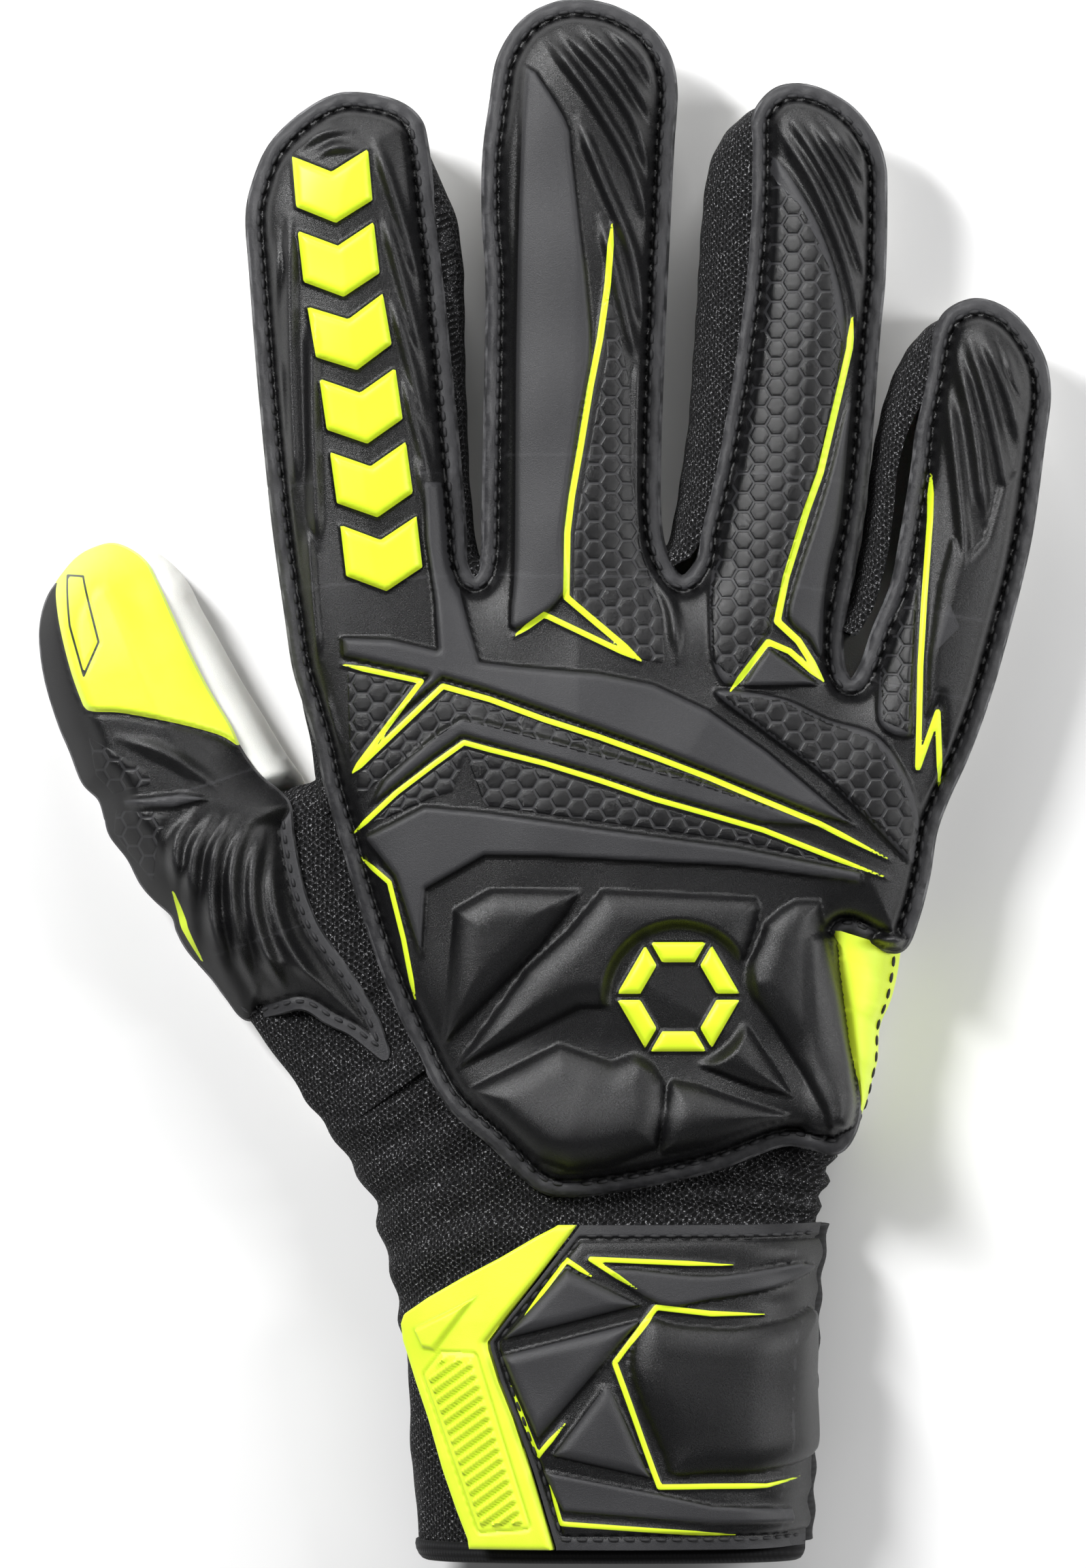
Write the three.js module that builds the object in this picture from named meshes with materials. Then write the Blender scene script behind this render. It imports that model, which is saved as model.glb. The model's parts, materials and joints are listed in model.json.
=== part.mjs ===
// Goalkeeper glove for the right hand, lying palm down. Millimetres.
// +Y points to the fingertips, +X to the little finger, +Z out of the back of the hand.
// The origin is on the face of the palm that rests on the ground.
import * as THREE from "three";

// ---- Driving dimensions ----
const GAP = 0.3; // between neighbouring pieces
const LATEX = 6.5; // palm foam on the fingers
const PALM = 7; // palm foam on the hand
const PALM_EDGE = 1.2; // how far the rounded edge of the palm foam steps in
const PALM_ROUND = 2; // height of that rounded edge
const HINGE = 10; // height of the finger joints above the ground
const WALL = 4; // thickness of the side gussets
const PANEL_FLOOR = 24; // underside of the finger back panels
const PANEL_SHOULDER = 29.5; // where the back panels start to round over
const PANEL_TOP = 33;
const PANEL_ROUND = 4; // how far the top of a finger panel steps in
const BACK_FLOOR = 26; // underside of the backhand panel
const BACK_SHOULDER = 33;
const BACK_TOP = 37;
const BACK_CROWN = 0.92; // size of the backhand panel's top against its outline
const ACCENT_TOP = 30;
const THUMB_ROOT_TOP = 32;
const HEEL_KNIT = 3; // thickness of the knit over the heel of the hand
const SPINE = { width: 9, thickness: 1.9, clearance: 3, end: 16 }; // finger support strip
const SPINE_FLOOR = 21.5;
const ARC_STEPS = 8; // straight facets round a fingertip

// Ranges of the joints in degrees. The palm foam is cut back by half of its joint's range.
const KNUCKLE_RANGE = 70;
const MIDDLE_RANGE = 75;
const THUMB_BASE_RANGE = 45;
const THUMB_TIP_RANGE = 60;

// Each finger: the middle of its knuckle line, its lean to the right in degrees, how far along it the
// middle joint and the end lie, and its half widths to the left and the right of its centre line.
const FINGERS = {
  index: { root: [-30, 51.5], lean: -5, joint: 40, length: 94.5, left: 17.8, right: 17.2 },
  middle: { root: [7, 52.5], lean: 0.5, joint: 46, length: 109.5, left: 17.4, right: 15.4 },
  ring: { root: [41, 51], lean: 6, joint: 42, length: 96, left: 16.8, right: 14.4 },
  little: { root: [67.3, 31.8], lean: 10, joint: 33, length: 76.5, left: 12.7, right: 14.4 },
};

// The thumb starts at its base joint, and its tip joint lies under the edge of the yellow cap.
const THUMB = { root: [-60.4, 1.9], lean: -19, joint: 30, length: 64, left: 15.5, right: 14.2 };
const THUMB_LATEX_RIGHT = 16.7; // the palm foam stands proud of the panel on the side of the hand
const THUMB_TIP = { left: 18, right: 13 };

// The wrist is a flattened tube: at each station its place along Y, its centre and its half sizes.
const WRIST_STATIONS = [
  { y: -46, x: 8, z: 13, halfX: 47, halfZ: 11.5 },
  { y: -62, x: 9.5, z: 13.3, halfX: 40.5, halfZ: 12.2 },
  { y: -80, x: 10.8, z: 13.7, halfX: 37.3, halfZ: 12.8 },
  { y: -105, x: 11.7, z: 13.8, halfX: 35.9, halfZ: 12.9 },
  { y: -121, x: 12.3, z: 13.8, halfX: 34.8, halfZ: 12.9 },
];
const WRIST_WALL = 3.5;
const WRIST_SQUARENESS = 2.6; // 2 is an ellipse, more is squarer
const WRIST_STEPS = 28;
const CUFF = { near: -121.3, far: -124.8, proud: 0.8 };

// The layers that lie over the back of the wrist: distance of their inner and outer faces from the knit.
const LOOP_LAYER = [0.7, 1.7];
const HOOK_LAYER = [2.4, 3.4];
const BAND_LAYER = [4, 5.4];
const COVER_LAYER = [6, 8.6];
const TAB_LAYER = [6, 9.6];
const ANCHOR_LAYER = [0.6, 2.4];
const STRAP_STEPS = 12; // facets of a strap layer round the wrist
const STRAP_HINGE_SIDE = 0.35; // radians round the section where the moving strap starts
const ANCHOR_SIDE = [-0.8, 0.23]; // radians round the section where the strap's fixed root starts and stops
const STRAP = { near: -63, far: -121 };
const SEAM_GAP = 1.2; // between the moulded cover and the pull tab

// ---- Materials ----
const material = (color, roughness, metalness = 0) =>
  new THREE.MeshStandardMaterial({ color, roughness, metalness });

const MATERIALS = {
  backPanel: material(0x26262a, 0.55),
  knit: material(0x121214, 0.95),
  latex: material(0xe6e3db, 0.8),
  neon: material(0xe6ff2a, 0.5),
  spine: material(0x2e2e32, 0.4),
  strapCover: material(0x2c2c30, 0.5),
  elastic: material(0x18181a, 0.9),
  hookAndLoop: material(0x1c1c1e, 0.95),
};

// ---- Geometry helpers ----
const degrees = THREE.MathUtils.degToRad;

// A geometry with flat faces from shared points and triangles that index them.
function facetedGeometry(points, triangles) {
  const geometry = new THREE.BufferGeometry();
  geometry.setAttribute("position", new THREE.Float32BufferAttribute(points.flat(), 3));
  geometry.setIndex(triangles.flat());
  const faceted = geometry.toNonIndexed();
  faceted.computeVertexNormals();
  return faceted;
}

// Triangles of a flat ring of points, counter-clockwise seen from above.
function capTriangles(ring) {
  const contour = ring.map(([x, y]) => new THREE.Vector2(x, y));
  return THREE.ShapeUtils.triangulateShape(contour, []);
}

// A closed body through rings of points, lowest ring first, each counter-clockwise seen from above.
function loft(rings) {
  const count = rings[0].length;
  const triangles = capTriangles(rings[0]).map(([a, b, c]) => [a, c, b]);
  const top = (rings.length - 1) * count;
  capTriangles(rings.at(-1)).forEach((face) => triangles.push(face.map((i) => i + top)));
  for (let level = 0; level < rings.length - 1; level++) {
    for (let i = 0; i < count; i++) {
      const a = level * count + i;
      const b = level * count + ((i + 1) % count);
      triangles.push([a, b, b + count], [a, b + count, a + count]);
    }
  }
  return facetedGeometry(rings.flat(), triangles);
}

// An upright slab: one outline of [x, y] points at two heights.
function slab(outline, floor, top) {
  const ringAt = (z) => outline.map(([x, y]) => [x, y, z]);
  return loft([ringAt(floor), ringAt(top)]);
}

// A strip of the given thickness to the left of a path of [x, y] points that runs towards +Y.
function strip(path, thickness, floor, top) {
  const inner = path.map(([x, y]) => [x - thickness, y]).reverse();
  return slab([...path, ...inner], floor, top);
}

// How far a piece stays back from a joint at height z, so that the joint can bend by its range.
function setback(z, range) {
  return GAP / 2 + Math.max(0, HINGE - z) * Math.tan(degrees(range / 2));
}

// ---- Fingers ----
// Place of a point given in a finger's own frame, in the frame of the hand.
function onFinger({ root, lean }, x, y) {
  const angle = degrees(lean);
  return [
    root[0] + x * Math.cos(angle) + y * Math.sin(angle),
    root[1] - x * Math.sin(angle) + y * Math.cos(angle),
  ];
}

// The side and end of a tip as a path from its near right corner round to its near left corner.
function tipPath({ near, far, left, right }, z, inset) {
  const radius = (left + right) / 2 - inset;
  const centre = [(right - left) / 2, far - radius - inset];
  const path = [[right - inset, near, z]];
  for (let step = 0; step <= ARC_STEPS; step++) {
    const angle = (Math.PI * step) / ARC_STEPS;
    path.push([centre[0] + radius * Math.cos(angle), centre[1] + radius * Math.sin(angle), z]);
  }
  path.push([inset - left, near, z]);
  return path;
}

// Outline of a length of finger at height z: a rectangle, or a strip with a round end for a tip.
function lengthOutline(piece, z, inset = 0) {
  const near = piece.near + setback(z, piece.nearRange);
  if (piece.tip) return tipPath({ ...piece, near }, z, inset);
  const far = piece.far - setback(z, piece.farRange);
  const left = inset - piece.left;
  const right = piece.right - inset;
  return [[left, near, z], [right, near, z], [right, far, z], [left, far, z]];
}

const backPanelOf = (piece) =>
  loft([
    lengthOutline(piece, PANEL_FLOOR),
    lengthOutline(piece, PANEL_SHOULDER),
    lengthOutline(piece, PANEL_TOP, PANEL_ROUND),
  ]);

const palmOf = (piece) =>
  loft([
    lengthOutline(piece, 0, PALM_EDGE),
    lengthOutline(piece, PALM_ROUND),
    lengthOutline(piece, LATEX),
  ]);

// One side wall of a length of finger.
const sideWallOf = (piece) =>
  loft([LATEX + GAP, HINGE, PANEL_FLOOR - GAP].map((z) => lengthOutline(piece, z)));

// The gusset that runs up one side of a tip, round its end and down the other side.
function tipGussetOf(piece) {
  const ringAt = (z) => {
    const near = piece.near + setback(z, piece.nearRange);
    const outer = tipPath({ ...piece, near }, z, 0);
    const inner = tipPath({ ...piece, near }, z, WALL);
    return [...outer, ...inner.reverse()];
  };
  return loft([LATEX + GAP, HINGE, PANEL_FLOOR - GAP].map(ringAt));
}

// A length of the support strip that lies under a back panel.
function spineOf(near, far) {
  const half = SPINE.width / 2;
  const outline = [[-half, near], [half, near], [half, far], [-half, far]];
  return slab(outline, SPINE_FLOOR, SPINE_FLOOR + SPINE.thickness);
}

// ---- Wrist ----
// Centre and half sizes of the wrist at any place along Y.
function wristAt(y) {
  const last = WRIST_STATIONS.length - 2;
  const found = WRIST_STATIONS.findIndex((station, i) => i > 0 && y >= station.y);
  const start = found < 0 ? last : found - 1;
  const [a, b] = WRIST_STATIONS.slice(start, start + 2);
  const t = (y - a.y) / (b.y - a.y);
  const mix = (key) => a[key] + (b[key] - a[key]) * t;
  return { x: mix("x"), z: mix("z"), halfX: mix("halfX"), halfZ: mix("halfZ") };
}

// A point at an angle round the wrist, at a distance out from the face of the knit.
function wristPoint(y, angle, offset) {
  const { x, z, halfX, halfZ } = wristAt(y);
  const power = 2 / WRIST_SQUARENESS;
  const soften = (value) => Math.sign(value) * Math.abs(value) ** power;
  return [
    x + (halfX + offset) * soften(Math.cos(angle)),
    y,
    z + (halfZ + offset) * soften(Math.sin(angle)),
  ];
}

// The angle round the upper half of the wrist at which a layer reaches a given x.
function wristAngle(y, x, offset) {
  const section = wristAt(y);
  const reach = THREE.MathUtils.clamp((x - section.x) / (section.halfX + offset), -1, 1);
  return Math.acos(Math.sign(reach) * Math.abs(reach) ** (WRIST_SQUARENESS / 2));
}

// A closed tube round the wrist between distances from the knit, through rows along Y.
function sleeve(rows, inner, outer) {
  const points = [];
  const triangles = [];
  const index = (row, step, side) => (row * WRIST_STEPS + (step % WRIST_STEPS)) * 2 + side;
  const quad = (a, b, c, d) => triangles.push([a, b, c], [a, c, d]);
  rows.forEach((y) => {
    for (let step = 0; step < WRIST_STEPS; step++) {
      const angle = (2 * Math.PI * step) / WRIST_STEPS;
      points.push(wristPoint(y, angle, inner), wristPoint(y, angle, outer));
    }
  });
  const last = rows.length - 1;
  for (let step = 0; step < WRIST_STEPS; step++) {
    const here = (row, side) => index(row, step, side);
    const next = (row, side) => index(row, step + 1, side);
    for (let row = 0; row < last; row++) {
      quad(here(row, 1), next(row, 1), next(row + 1, 1), here(row + 1, 1));
      quad(here(row, 0), here(row + 1, 0), next(row + 1, 0), next(row, 0));
    }
    quad(here(0, 0), next(0, 0), next(0, 1), here(0, 1));
    quad(here(last, 0), here(last, 1), next(last, 1), next(last, 0));
  }
  return facetedGeometry(points, triangles);
}

// A curved sheet on the wrist. Each row holds y and the angles where the sheet starts and stops.
function wrapped(rows, [inner, outer]) {
  const ringAt = ([y, from, to]) => {
    const angles = [];
    for (let step = 0; step <= STRAP_STEPS; step++) {
      angles.push(THREE.MathUtils.lerp(from, to, step / STRAP_STEPS));
    }
    const outside = angles.map((angle) => wristPoint(y, angle, outer));
    const inside = angles.map((angle) => wristPoint(y, angle, inner)).reverse();
    return [...outside, ...inside];
  };
  const rings = rows.map(ringAt);
  const count = rings[0].length;
  const triangles = [];
  const quad = (a, b, c, d) => triangles.push([a, b, c], [a, c, d]);
  for (let row = 0; row < rings.length - 1; row++) {
    for (let i = 0; i < count; i++) {
      const next = (i + 1) % count;
      quad(row * count + i, row * count + next, (row + 1) * count + next, (row + 1) * count + i);
    }
  }
  const end = (rings.length - 1) * count;
  for (let i = 0; i < STRAP_STEPS; i++) {
    const across = count - 1 - i;
    quad(i, across, across - 1, i + 1);
    quad(end + i, end + i + 1, end + across - 1, end + across);
  }
  return facetedGeometry(rings.flat(), triangles);
}

// ---- Assembly ----
const group = new THREE.Group();
group.name = "goalkeeper_glove";

function add(parent, name, geometry, finish) {
  const mesh = new THREE.Mesh(geometry, MATERIALS[finish]);
  mesh.name = name;
  parent.add(mesh);
}

function digitGroup({ root, lean }) {
  const digit = new THREE.Group();
  digit.position.set(root[0], root[1], 0);
  digit.rotation.z = -degrees(lean);
  group.add(digit);
  return digit;
}

function addFinger(name, finger) {
  const digit = digitGroup(finger);
  const { joint, length, left, right } = finger;
  const base = { near: 0, far: joint, left, right, nearRange: KNUCKLE_RANGE, farRange: MIDDLE_RANGE };
  const tip = { near: joint, far: length, left, right, nearRange: MIDDLE_RANGE, tip: true };
  const leftWall = { ...base, right: WALL - left };
  const rightWall = { ...base, left: WALL - right };

  add(digit, `${name}_back_panel`, backPanelOf(base), "backPanel");
  add(digit, `${name}_palm`, palmOf(base), "latex");
  add(digit, `${name}_gusset_left`, sideWallOf(leftWall), "knit");
  add(digit, `${name}_gusset_right`, sideWallOf(rightWall), "knit");
  add(digit, `${name}_spine`, spineOf(SPINE.clearance, joint - SPINE.clearance), "spine");
  add(digit, `${name}_tip_back_panel`, backPanelOf(tip), "backPanel");
  add(digit, `${name}_tip_palm`, palmOf(tip), "latex");
  add(digit, `${name}_tip_gusset`, tipGussetOf(tip), "knit");
  add(digit, `${name}_tip_spine`, spineOf(joint + SPINE.clearance, length - SPINE.end), "spine");
}

function addThumb() {
  const digit = digitGroup(THUMB);
  const { joint, length, left, right } = THUMB;
  const base = { near: 0, far: joint, left, right, nearRange: THUMB_BASE_RANGE, farRange: THUMB_TIP_RANGE };
  const tip = { near: joint, far: length, ...THUMB_TIP, nearRange: THUMB_TIP_RANGE, tip: true };
  const latex = { ...base, right: THUMB_LATEX_RIGHT };
  const outerWall = { ...base, right: WALL - left };
  const innerWall = { ...latex, left: WALL - THUMB_LATEX_RIGHT };

  add(digit, "thumb_back_panel", backPanelOf(base), "backPanel");
  add(digit, "thumb_palm", palmOf(latex), "latex");
  add(digit, "thumb_gusset_outer", sideWallOf(outerWall), "knit");
  add(digit, "thumb_gusset_inner", sideWallOf(innerWall), "knit");
  add(digit, "thumb_cap", backPanelOf(tip), "neon");
  add(digit, "thumb_tip_palm", palmOf(tip), "latex");
  add(digit, "thumb_tip_gusset", tipGussetOf(tip), "knit");
}

// The corners of the knuckle lines from the little finger to the index finger, set back from each joint.
function knuckleCorners(z) {
  const back = -setback(z, KNUCKLE_RANGE);
  const corners = (finger) => [onFinger(finger, finger.right, back), onFinger(finger, -finger.left, back)];
  const crotch = [[52.4, 34], [52.2, 40]]; // beside the little finger, below the ring finger
  return [
    ...corners(FINGERS.little),
    ...crotch,
    ...corners(FINGERS.ring),
    ...corners(FINGERS.middle),
    ...corners(FINGERS.index),
  ];
}

// The sides of the hand between the wrist and the little finger.
const OUTER_SIDE = [[66, -12.4], [70.8, 5], [75.2, 18.5]];
const ACCENT_SIDE = [[57.5, -45.5], [61.4, -32], [63.8, -21.7], [65.8, -12.8]];
const ACCENT_SEAM = [[56, -12.8], [57.8, -30], [58.6, -41]];

function backhandPanel() {
  const outline = [
    [-22, -33.1], [-14.8, -42.6], [-1.4, -55.6], [4.9, -57], [22.8, -54.3], [44, -47.6], [54.9, -48.4],
    [58, -41], [57.2, -30], [55.4, -12.4],
    ...OUTER_SIDE,
    ...knuckleCorners(BACK_FLOOR),
    [-43.5, 27], [-39.8, 17.1], [-35, 1.3], [-29, -17.5],
  ];
  const centre = [12, 0];
  const ringAt = (z, size) =>
    outline.map(([x, y]) => [centre[0] + (x - centre[0]) * size, centre[1] + (y - centre[1]) * size, z]);
  return loft([ringAt(BACK_FLOOR, 1), ringAt(BACK_SHOULDER, 1), ringAt(BACK_TOP, BACK_CROWN)]);
}

function palmPanel() {
  const ringAt = (z) => {
    const back = -setback(z, THUMB_BASE_RANGE);
    return [
      [-39.8, -45.5], [56.8, -45.5], [61, -32], ...OUTER_SIDE,
      ...knuckleCorners(z),
      [-47.3, 30], [-46.9, 18],
      onFinger(THUMB, THUMB_LATEX_RIGHT + 2 * GAP, 4),
      onFinger(THUMB, THUMB_LATEX_RIGHT + 2 * GAP, back),
      onFinger(THUMB, -THUMB.left, back),
      [-68.4, -7], [-63.3, -15.4], [-55, -25.3],
    ].map(([x, y]) => [x, y, z]);
  };
  return loft([ringAt(0), ringAt(PALM)]);
}

function sideAccent() {
  const outline = [...ACCENT_SIDE, ...ACCENT_SEAM];
  return slab(outline, PALM + GAP, ACCENT_TOP);
}

function thumbRootPanel() {
  const outline = [
    [-55.8, -24.8], [-44.6, -22.8], [-32.1, -30.2], [-29.2, -31.5], [-35.5, -17.5], [-41, -9.2], [-44.6, 0],
    onFinger(THUMB, THUMB.right, -GAP / 2),
    onFinger(THUMB, -THUMB.left, -GAP / 2),
    [-68.4, -7], [-61.3, -17.7],
  ];
  return slab(outline, PANEL_FLOOR, THUMB_ROOT_TOP);
}

function addHand() {
  const sideTop = BACK_FLOOR - GAP;
  const thumbTop = PANEL_FLOOR - GAP;
  const thumbSide = [[-36.4, -43], [-50.4, -23.6], [-58.6, -13.8], [-64.4, -4.6]];
  const webSide = [[-42.9, 18.5], [-43.3, 44]];
  const heelKnit = [[-49.6, -23], [-35.8, -42], [-34, -44.8], [-8, -44.8], [-20, -22], [-30, -24]];
  const carrier = [
    [-42, 40], [-28, 34], [7, 32], [40, 28], [60, 18], [70, 20], [60, 28], [44, 40], [7, 44], [-28, 46],
  ];
  add(group, "backhand_panel", backhandPanel(), "backPanel");
  add(group, "palm_panel", palmPanel(), "latex");
  add(group, "outer_side_gusset", strip(OUTER_SIDE, WALL, PALM + GAP, sideTop), "knit");
  add(group, "side_accent", sideAccent(), "neon");
  add(group, "web_gusset", strip(webSide, WALL, PALM + GAP, sideTop), "knit");
  add(group, "thumb_root_panel", thumbRootPanel(), "backPanel");
  add(group, "thumb_side_gusset", strip(thumbSide, WALL, PALM + GAP, thumbTop), "knit");
  add(group, "heel_knit_panel", slab(heelKnit, thumbTop - HEEL_KNIT, thumbTop), "knit");
  add(group, "spine_carrier", slab(carrier, sideTop - SPINE.thickness, sideTop), "spine");
}

function addWrist() {
  const knitRows = WRIST_STATIONS.map((station) => station.y);
  add(group, "wrist_knit", sleeve(knitRows, -WRIST_WALL, 0), "knit");
  add(group, "cuff_binding", sleeve([CUFF.near, CUFF.far], -WRIST_WALL - CUFF.proud, CUFF.proud), "elastic");

  // Rows of a strap layer: each holds y, the x where the layer ends on the little finger's side, or null
  // for the strap's hinge, and the x where it ends on the thumb's side.
  const layer = (name, rows, faces, finish) => {
    const angleAt = (y, x) => (x === null ? STRAP_HINGE_SIDE : wristAngle(y, x, faces[1]));
    const placed = rows.map(([y, right, left]) => [y, angleAt(y, right), angleAt(y, left)]);
    add(group, name, wrapped(placed, faces), finish);
  };
  const { near, far } = STRAP;
  const loops = [[-66, 30, -14], [-92, 30, -16], [-118, 30, -13]];
  const hooks = [[-72, 6, -12], [-84, 6, -22], [-117, 6, -13]];
  const band = [[near, null, -2], [-76, null, -8], [-84, null, -14], [far, null, -3]];
  layer("loop_patch", loops, LOOP_LAYER, "hookAndLoop");
  layer("hook_patch", hooks, HOOK_LAYER, "hookAndLoop");
  layer("strap_band", band, BAND_LAYER, "elastic");

  // The pull tab between the slanting seam with the moulded cover and its free edge.
  const tab = [
    [near, 4.4, -1.8], [-72, -2.6, -15.3], [-80.5, -9.4, -26.6], [-97, -7.4, -22], [-120, 0.8, -14.4],
  ];
  const cover = tab.map(([y, seam]) => [y, null, seam + SEAM_GAP]);
  layer("pull_tab", tab, TAB_LAYER, "neon");
  layer("strap_cover", cover, COVER_LAYER, "strapCover");

  const anchor = [near, (near + far) / 2, far].map((y) => [y, ...ANCHOR_SIDE]);
  add(group, "strap_anchor", wrapped(anchor, ANCHOR_LAYER), "elastic");
}

addHand();
addWrist();
addThumb();
Object.entries(FINGERS).forEach(([name, finger]) => addFinger(name, finger));

export default group;
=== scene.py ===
"""Goalkeeper glove, right hand, lying palm down. Lengths in this file are millimetres in the part's own
frame, and MM turns them into Blender's metres when a mesh is made."""

import json
import math

import bpy
import numpy as np
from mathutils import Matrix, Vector
from mathutils.geometry import delaunay_2d_cdt
from mathutils.kdtree import KDTree

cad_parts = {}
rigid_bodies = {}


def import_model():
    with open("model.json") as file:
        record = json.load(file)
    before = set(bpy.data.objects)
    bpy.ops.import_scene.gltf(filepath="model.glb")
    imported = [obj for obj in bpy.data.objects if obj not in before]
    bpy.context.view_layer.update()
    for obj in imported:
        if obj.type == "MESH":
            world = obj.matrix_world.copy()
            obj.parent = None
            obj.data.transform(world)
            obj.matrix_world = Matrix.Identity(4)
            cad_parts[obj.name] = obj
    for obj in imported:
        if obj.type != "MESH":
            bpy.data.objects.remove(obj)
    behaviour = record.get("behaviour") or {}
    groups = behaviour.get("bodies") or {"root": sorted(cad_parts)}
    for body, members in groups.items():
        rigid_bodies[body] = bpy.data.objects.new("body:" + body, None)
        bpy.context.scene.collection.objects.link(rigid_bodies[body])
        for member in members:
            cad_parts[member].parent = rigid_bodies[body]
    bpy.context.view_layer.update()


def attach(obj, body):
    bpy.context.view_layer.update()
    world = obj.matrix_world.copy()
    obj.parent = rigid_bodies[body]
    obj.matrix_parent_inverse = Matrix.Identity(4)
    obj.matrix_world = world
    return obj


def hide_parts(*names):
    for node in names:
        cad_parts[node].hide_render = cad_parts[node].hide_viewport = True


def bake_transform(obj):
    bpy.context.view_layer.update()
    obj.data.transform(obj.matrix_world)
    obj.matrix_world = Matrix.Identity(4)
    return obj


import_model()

MM = 0.001
FINE = 0.55  # spacing of the points of a moulded skin
HEX_SIZE = 3.5  # of the moulded hexagons, across their flats
HEX_WIDTH = math.sqrt(3)  # of the cell that repeats in a hexagon pattern, over its height
HEX_CELLS = 300  # cells that a hexagon pattern is moved by, so that no place in it is negative

# ---- Curves and distances in the plane ------------------------------------------------------------


def curve_between(a, b, c, d, step, fewest=1):
    """Points from b up to c on the rounded curve through a, b, c and d."""
    count = max(fewest, int(round(np.linalg.norm(c - b) / step)))
    t = (np.arange(count) / count)[:, None]
    return 0.5 * (2 * b + (c - a) * t + (2 * a - 5 * b + 4 * c - d) * t**2 + (3 * b - a - 3 * c + d) * t**3)


def smooth(points, step, closed=False):
    """A rounded curve through the points, resampled about every step millimetres."""
    p = np.array(points, float)
    p = np.vstack([p[-1], p, p[0], p[1]]) if closed else np.vstack([2 * p[0] - p[1], p, 2 * p[-1] - p[-2]])
    curve = [curve_between(*four, step) for four in zip(p[:-3], p[1:-2], p[2:-1], p[3:])]
    return np.vstack(curve if closed else [*curve, p[-2][None]])


def blur(values, times):
    """Evens out neighbouring values in place, and leaves the first and the last as they are."""
    for _ in range(times):
        values[1:-1] = (values[:-2] + 2 * values[1:-1] + values[2:]) / 4


def run_along(path):
    """How far along a path each of its points lies."""
    return np.concatenate([[0], np.cumsum(np.linalg.norm(np.diff(path, axis=0), axis=1))])


def place_on(path, run, at):
    """The place at this distance along a path."""
    return np.array([np.interp(at, run, column) for column in path.T])


def distance(points, path, closed=False, reach=None):
    """Distance from each point to a path. Past reach it is only known to be larger."""
    points, path = np.asarray(points, float), np.asarray(path, float)
    found = np.full(len(points), 1e3)
    near = np.ones(len(points), bool)
    if reach is not None:
        near = ((points > path.min(0) - reach) & (points < path.max(0) + reach)).all(1)
    q, best = points[near], found[near]
    ends = np.vstack([path[1:], path[:1]]) if closed else path[1:]
    for a, b in zip(path, ends):
        ab = b - a
        t = np.clip(((q - a) @ ab) / max(ab @ ab, 1e-9), 0, 1)
        best = np.minimum(best, np.hypot(*(q - a - t[:, None] * ab).T))
    found[near] = best
    return found


def inside(points, polygon):
    """Which points lie inside a polygon, by counting the edges to their right."""
    x, y = np.asarray(points, float).T
    result = np.zeros(len(x), bool)
    for (ax, ay), (bx, by) in zip(polygon, np.roll(polygon, -1, axis=0)):
        crosses = (ay > y) != (by > y)
        with np.errstate(divide="ignore", invalid="ignore"):
            result ^= crosses & (x < (bx - ax) * (y - ay) / (by - ay) + ax)
    return result


def depth_in(points, polygon, reach=None):
    """Distance inside a polygon, negative outside."""
    points, polygon = np.asarray(points, float), np.asarray(polygon, float)
    depth = -distance(points, polygon, closed=True, reach=reach)
    near = ((points >= polygon.min(0)) & (points <= polygon.max(0))).all(1)
    within = near.copy()
    within[near] = inside(points[near], polygon)
    return np.where(within, -depth, depth)


def ease(t):
    """0 to 1, level at both ends."""
    t = np.clip(t, 0, 1)
    return t * t * (3 - 2 * t)


def dome(t):
    """Rises from 0 to 1 like a quarter circle."""
    return np.sqrt(1 - (1 - np.clip(t, 0, 1)) ** 2)


def crown(t):
    """0 to 1, steep but not upright at the start and level at the end."""
    return 1 - (1 - np.clip(t, 0, 1)) ** 2.2


def wave_noise(x, y, scale, seed):
    """Smooth unevenness between about -1 and 1."""
    rng = np.random.default_rng(seed)
    total = np.zeros_like(x)
    for _ in range(6):
        angle, phase = rng.uniform(0, 2 * math.pi, 2)
        k = rng.uniform(0.6, 1.6) * 2 * math.pi / scale
        total += np.sin(k * (x * math.cos(angle) + y * math.sin(angle)) + phase)
    return total / 3


# ---- The digits -----------------------------------------------------------------------------------

BEND_HEIGHT = 15


class Digit:
    """A finger or thumb: its root, its lean to the right in degrees, and along it where its skin's base
    piece starts, where the two skin pieces meet, and where its second joint lies. Last, how far it reaches
    to its left and to its right."""

    def __init__(self, name, root, lean, start, middle, joint, left, right):
        self.name, self.root, self.angle = name, np.array(root, float), math.radians(lean)
        self.start, self.middle, self.joint = start, middle, joint
        self.left, self.right = left, right
        self.along = np.array([math.sin(self.angle), math.cos(self.angle)])
        self.across = np.array([math.cos(self.angle), -math.sin(self.angle)])

    def local(self, points):
        """(distance along, distance to the right) of points in the plane."""
        q = np.asarray(points, float) - self.root
        return q @ self.along, q @ self.across

    def place(self, along, across):
        return self.root + along * self.along + across * self.across

    def at(self, along):
        """The place on the midline, in metres, at the height where the digit bends."""
        return Vector((*(self.place(along, 0) * MM), BEND_HEIGHT * MM))


FINGERS = [
    Digit("index", (-30, 51.5), -5, 4, 23, 40, 17.8, 17.2),
    Digit("middle", (7, 52.5), 0.5, 4, 26, 46, 17.4, 15.4),
    Digit("ring", (41, 51), 6, 4, 24, 42, 16.8, 14.4),
    Digit("little", (67.3, 31.8), 10, 4, 18.5, 33, 12.7, 14.4),
]
THUMB = Digit("thumb", (-60.4, 1.9), -19, -14, 16, 30, 15.5, 14.2)


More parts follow.
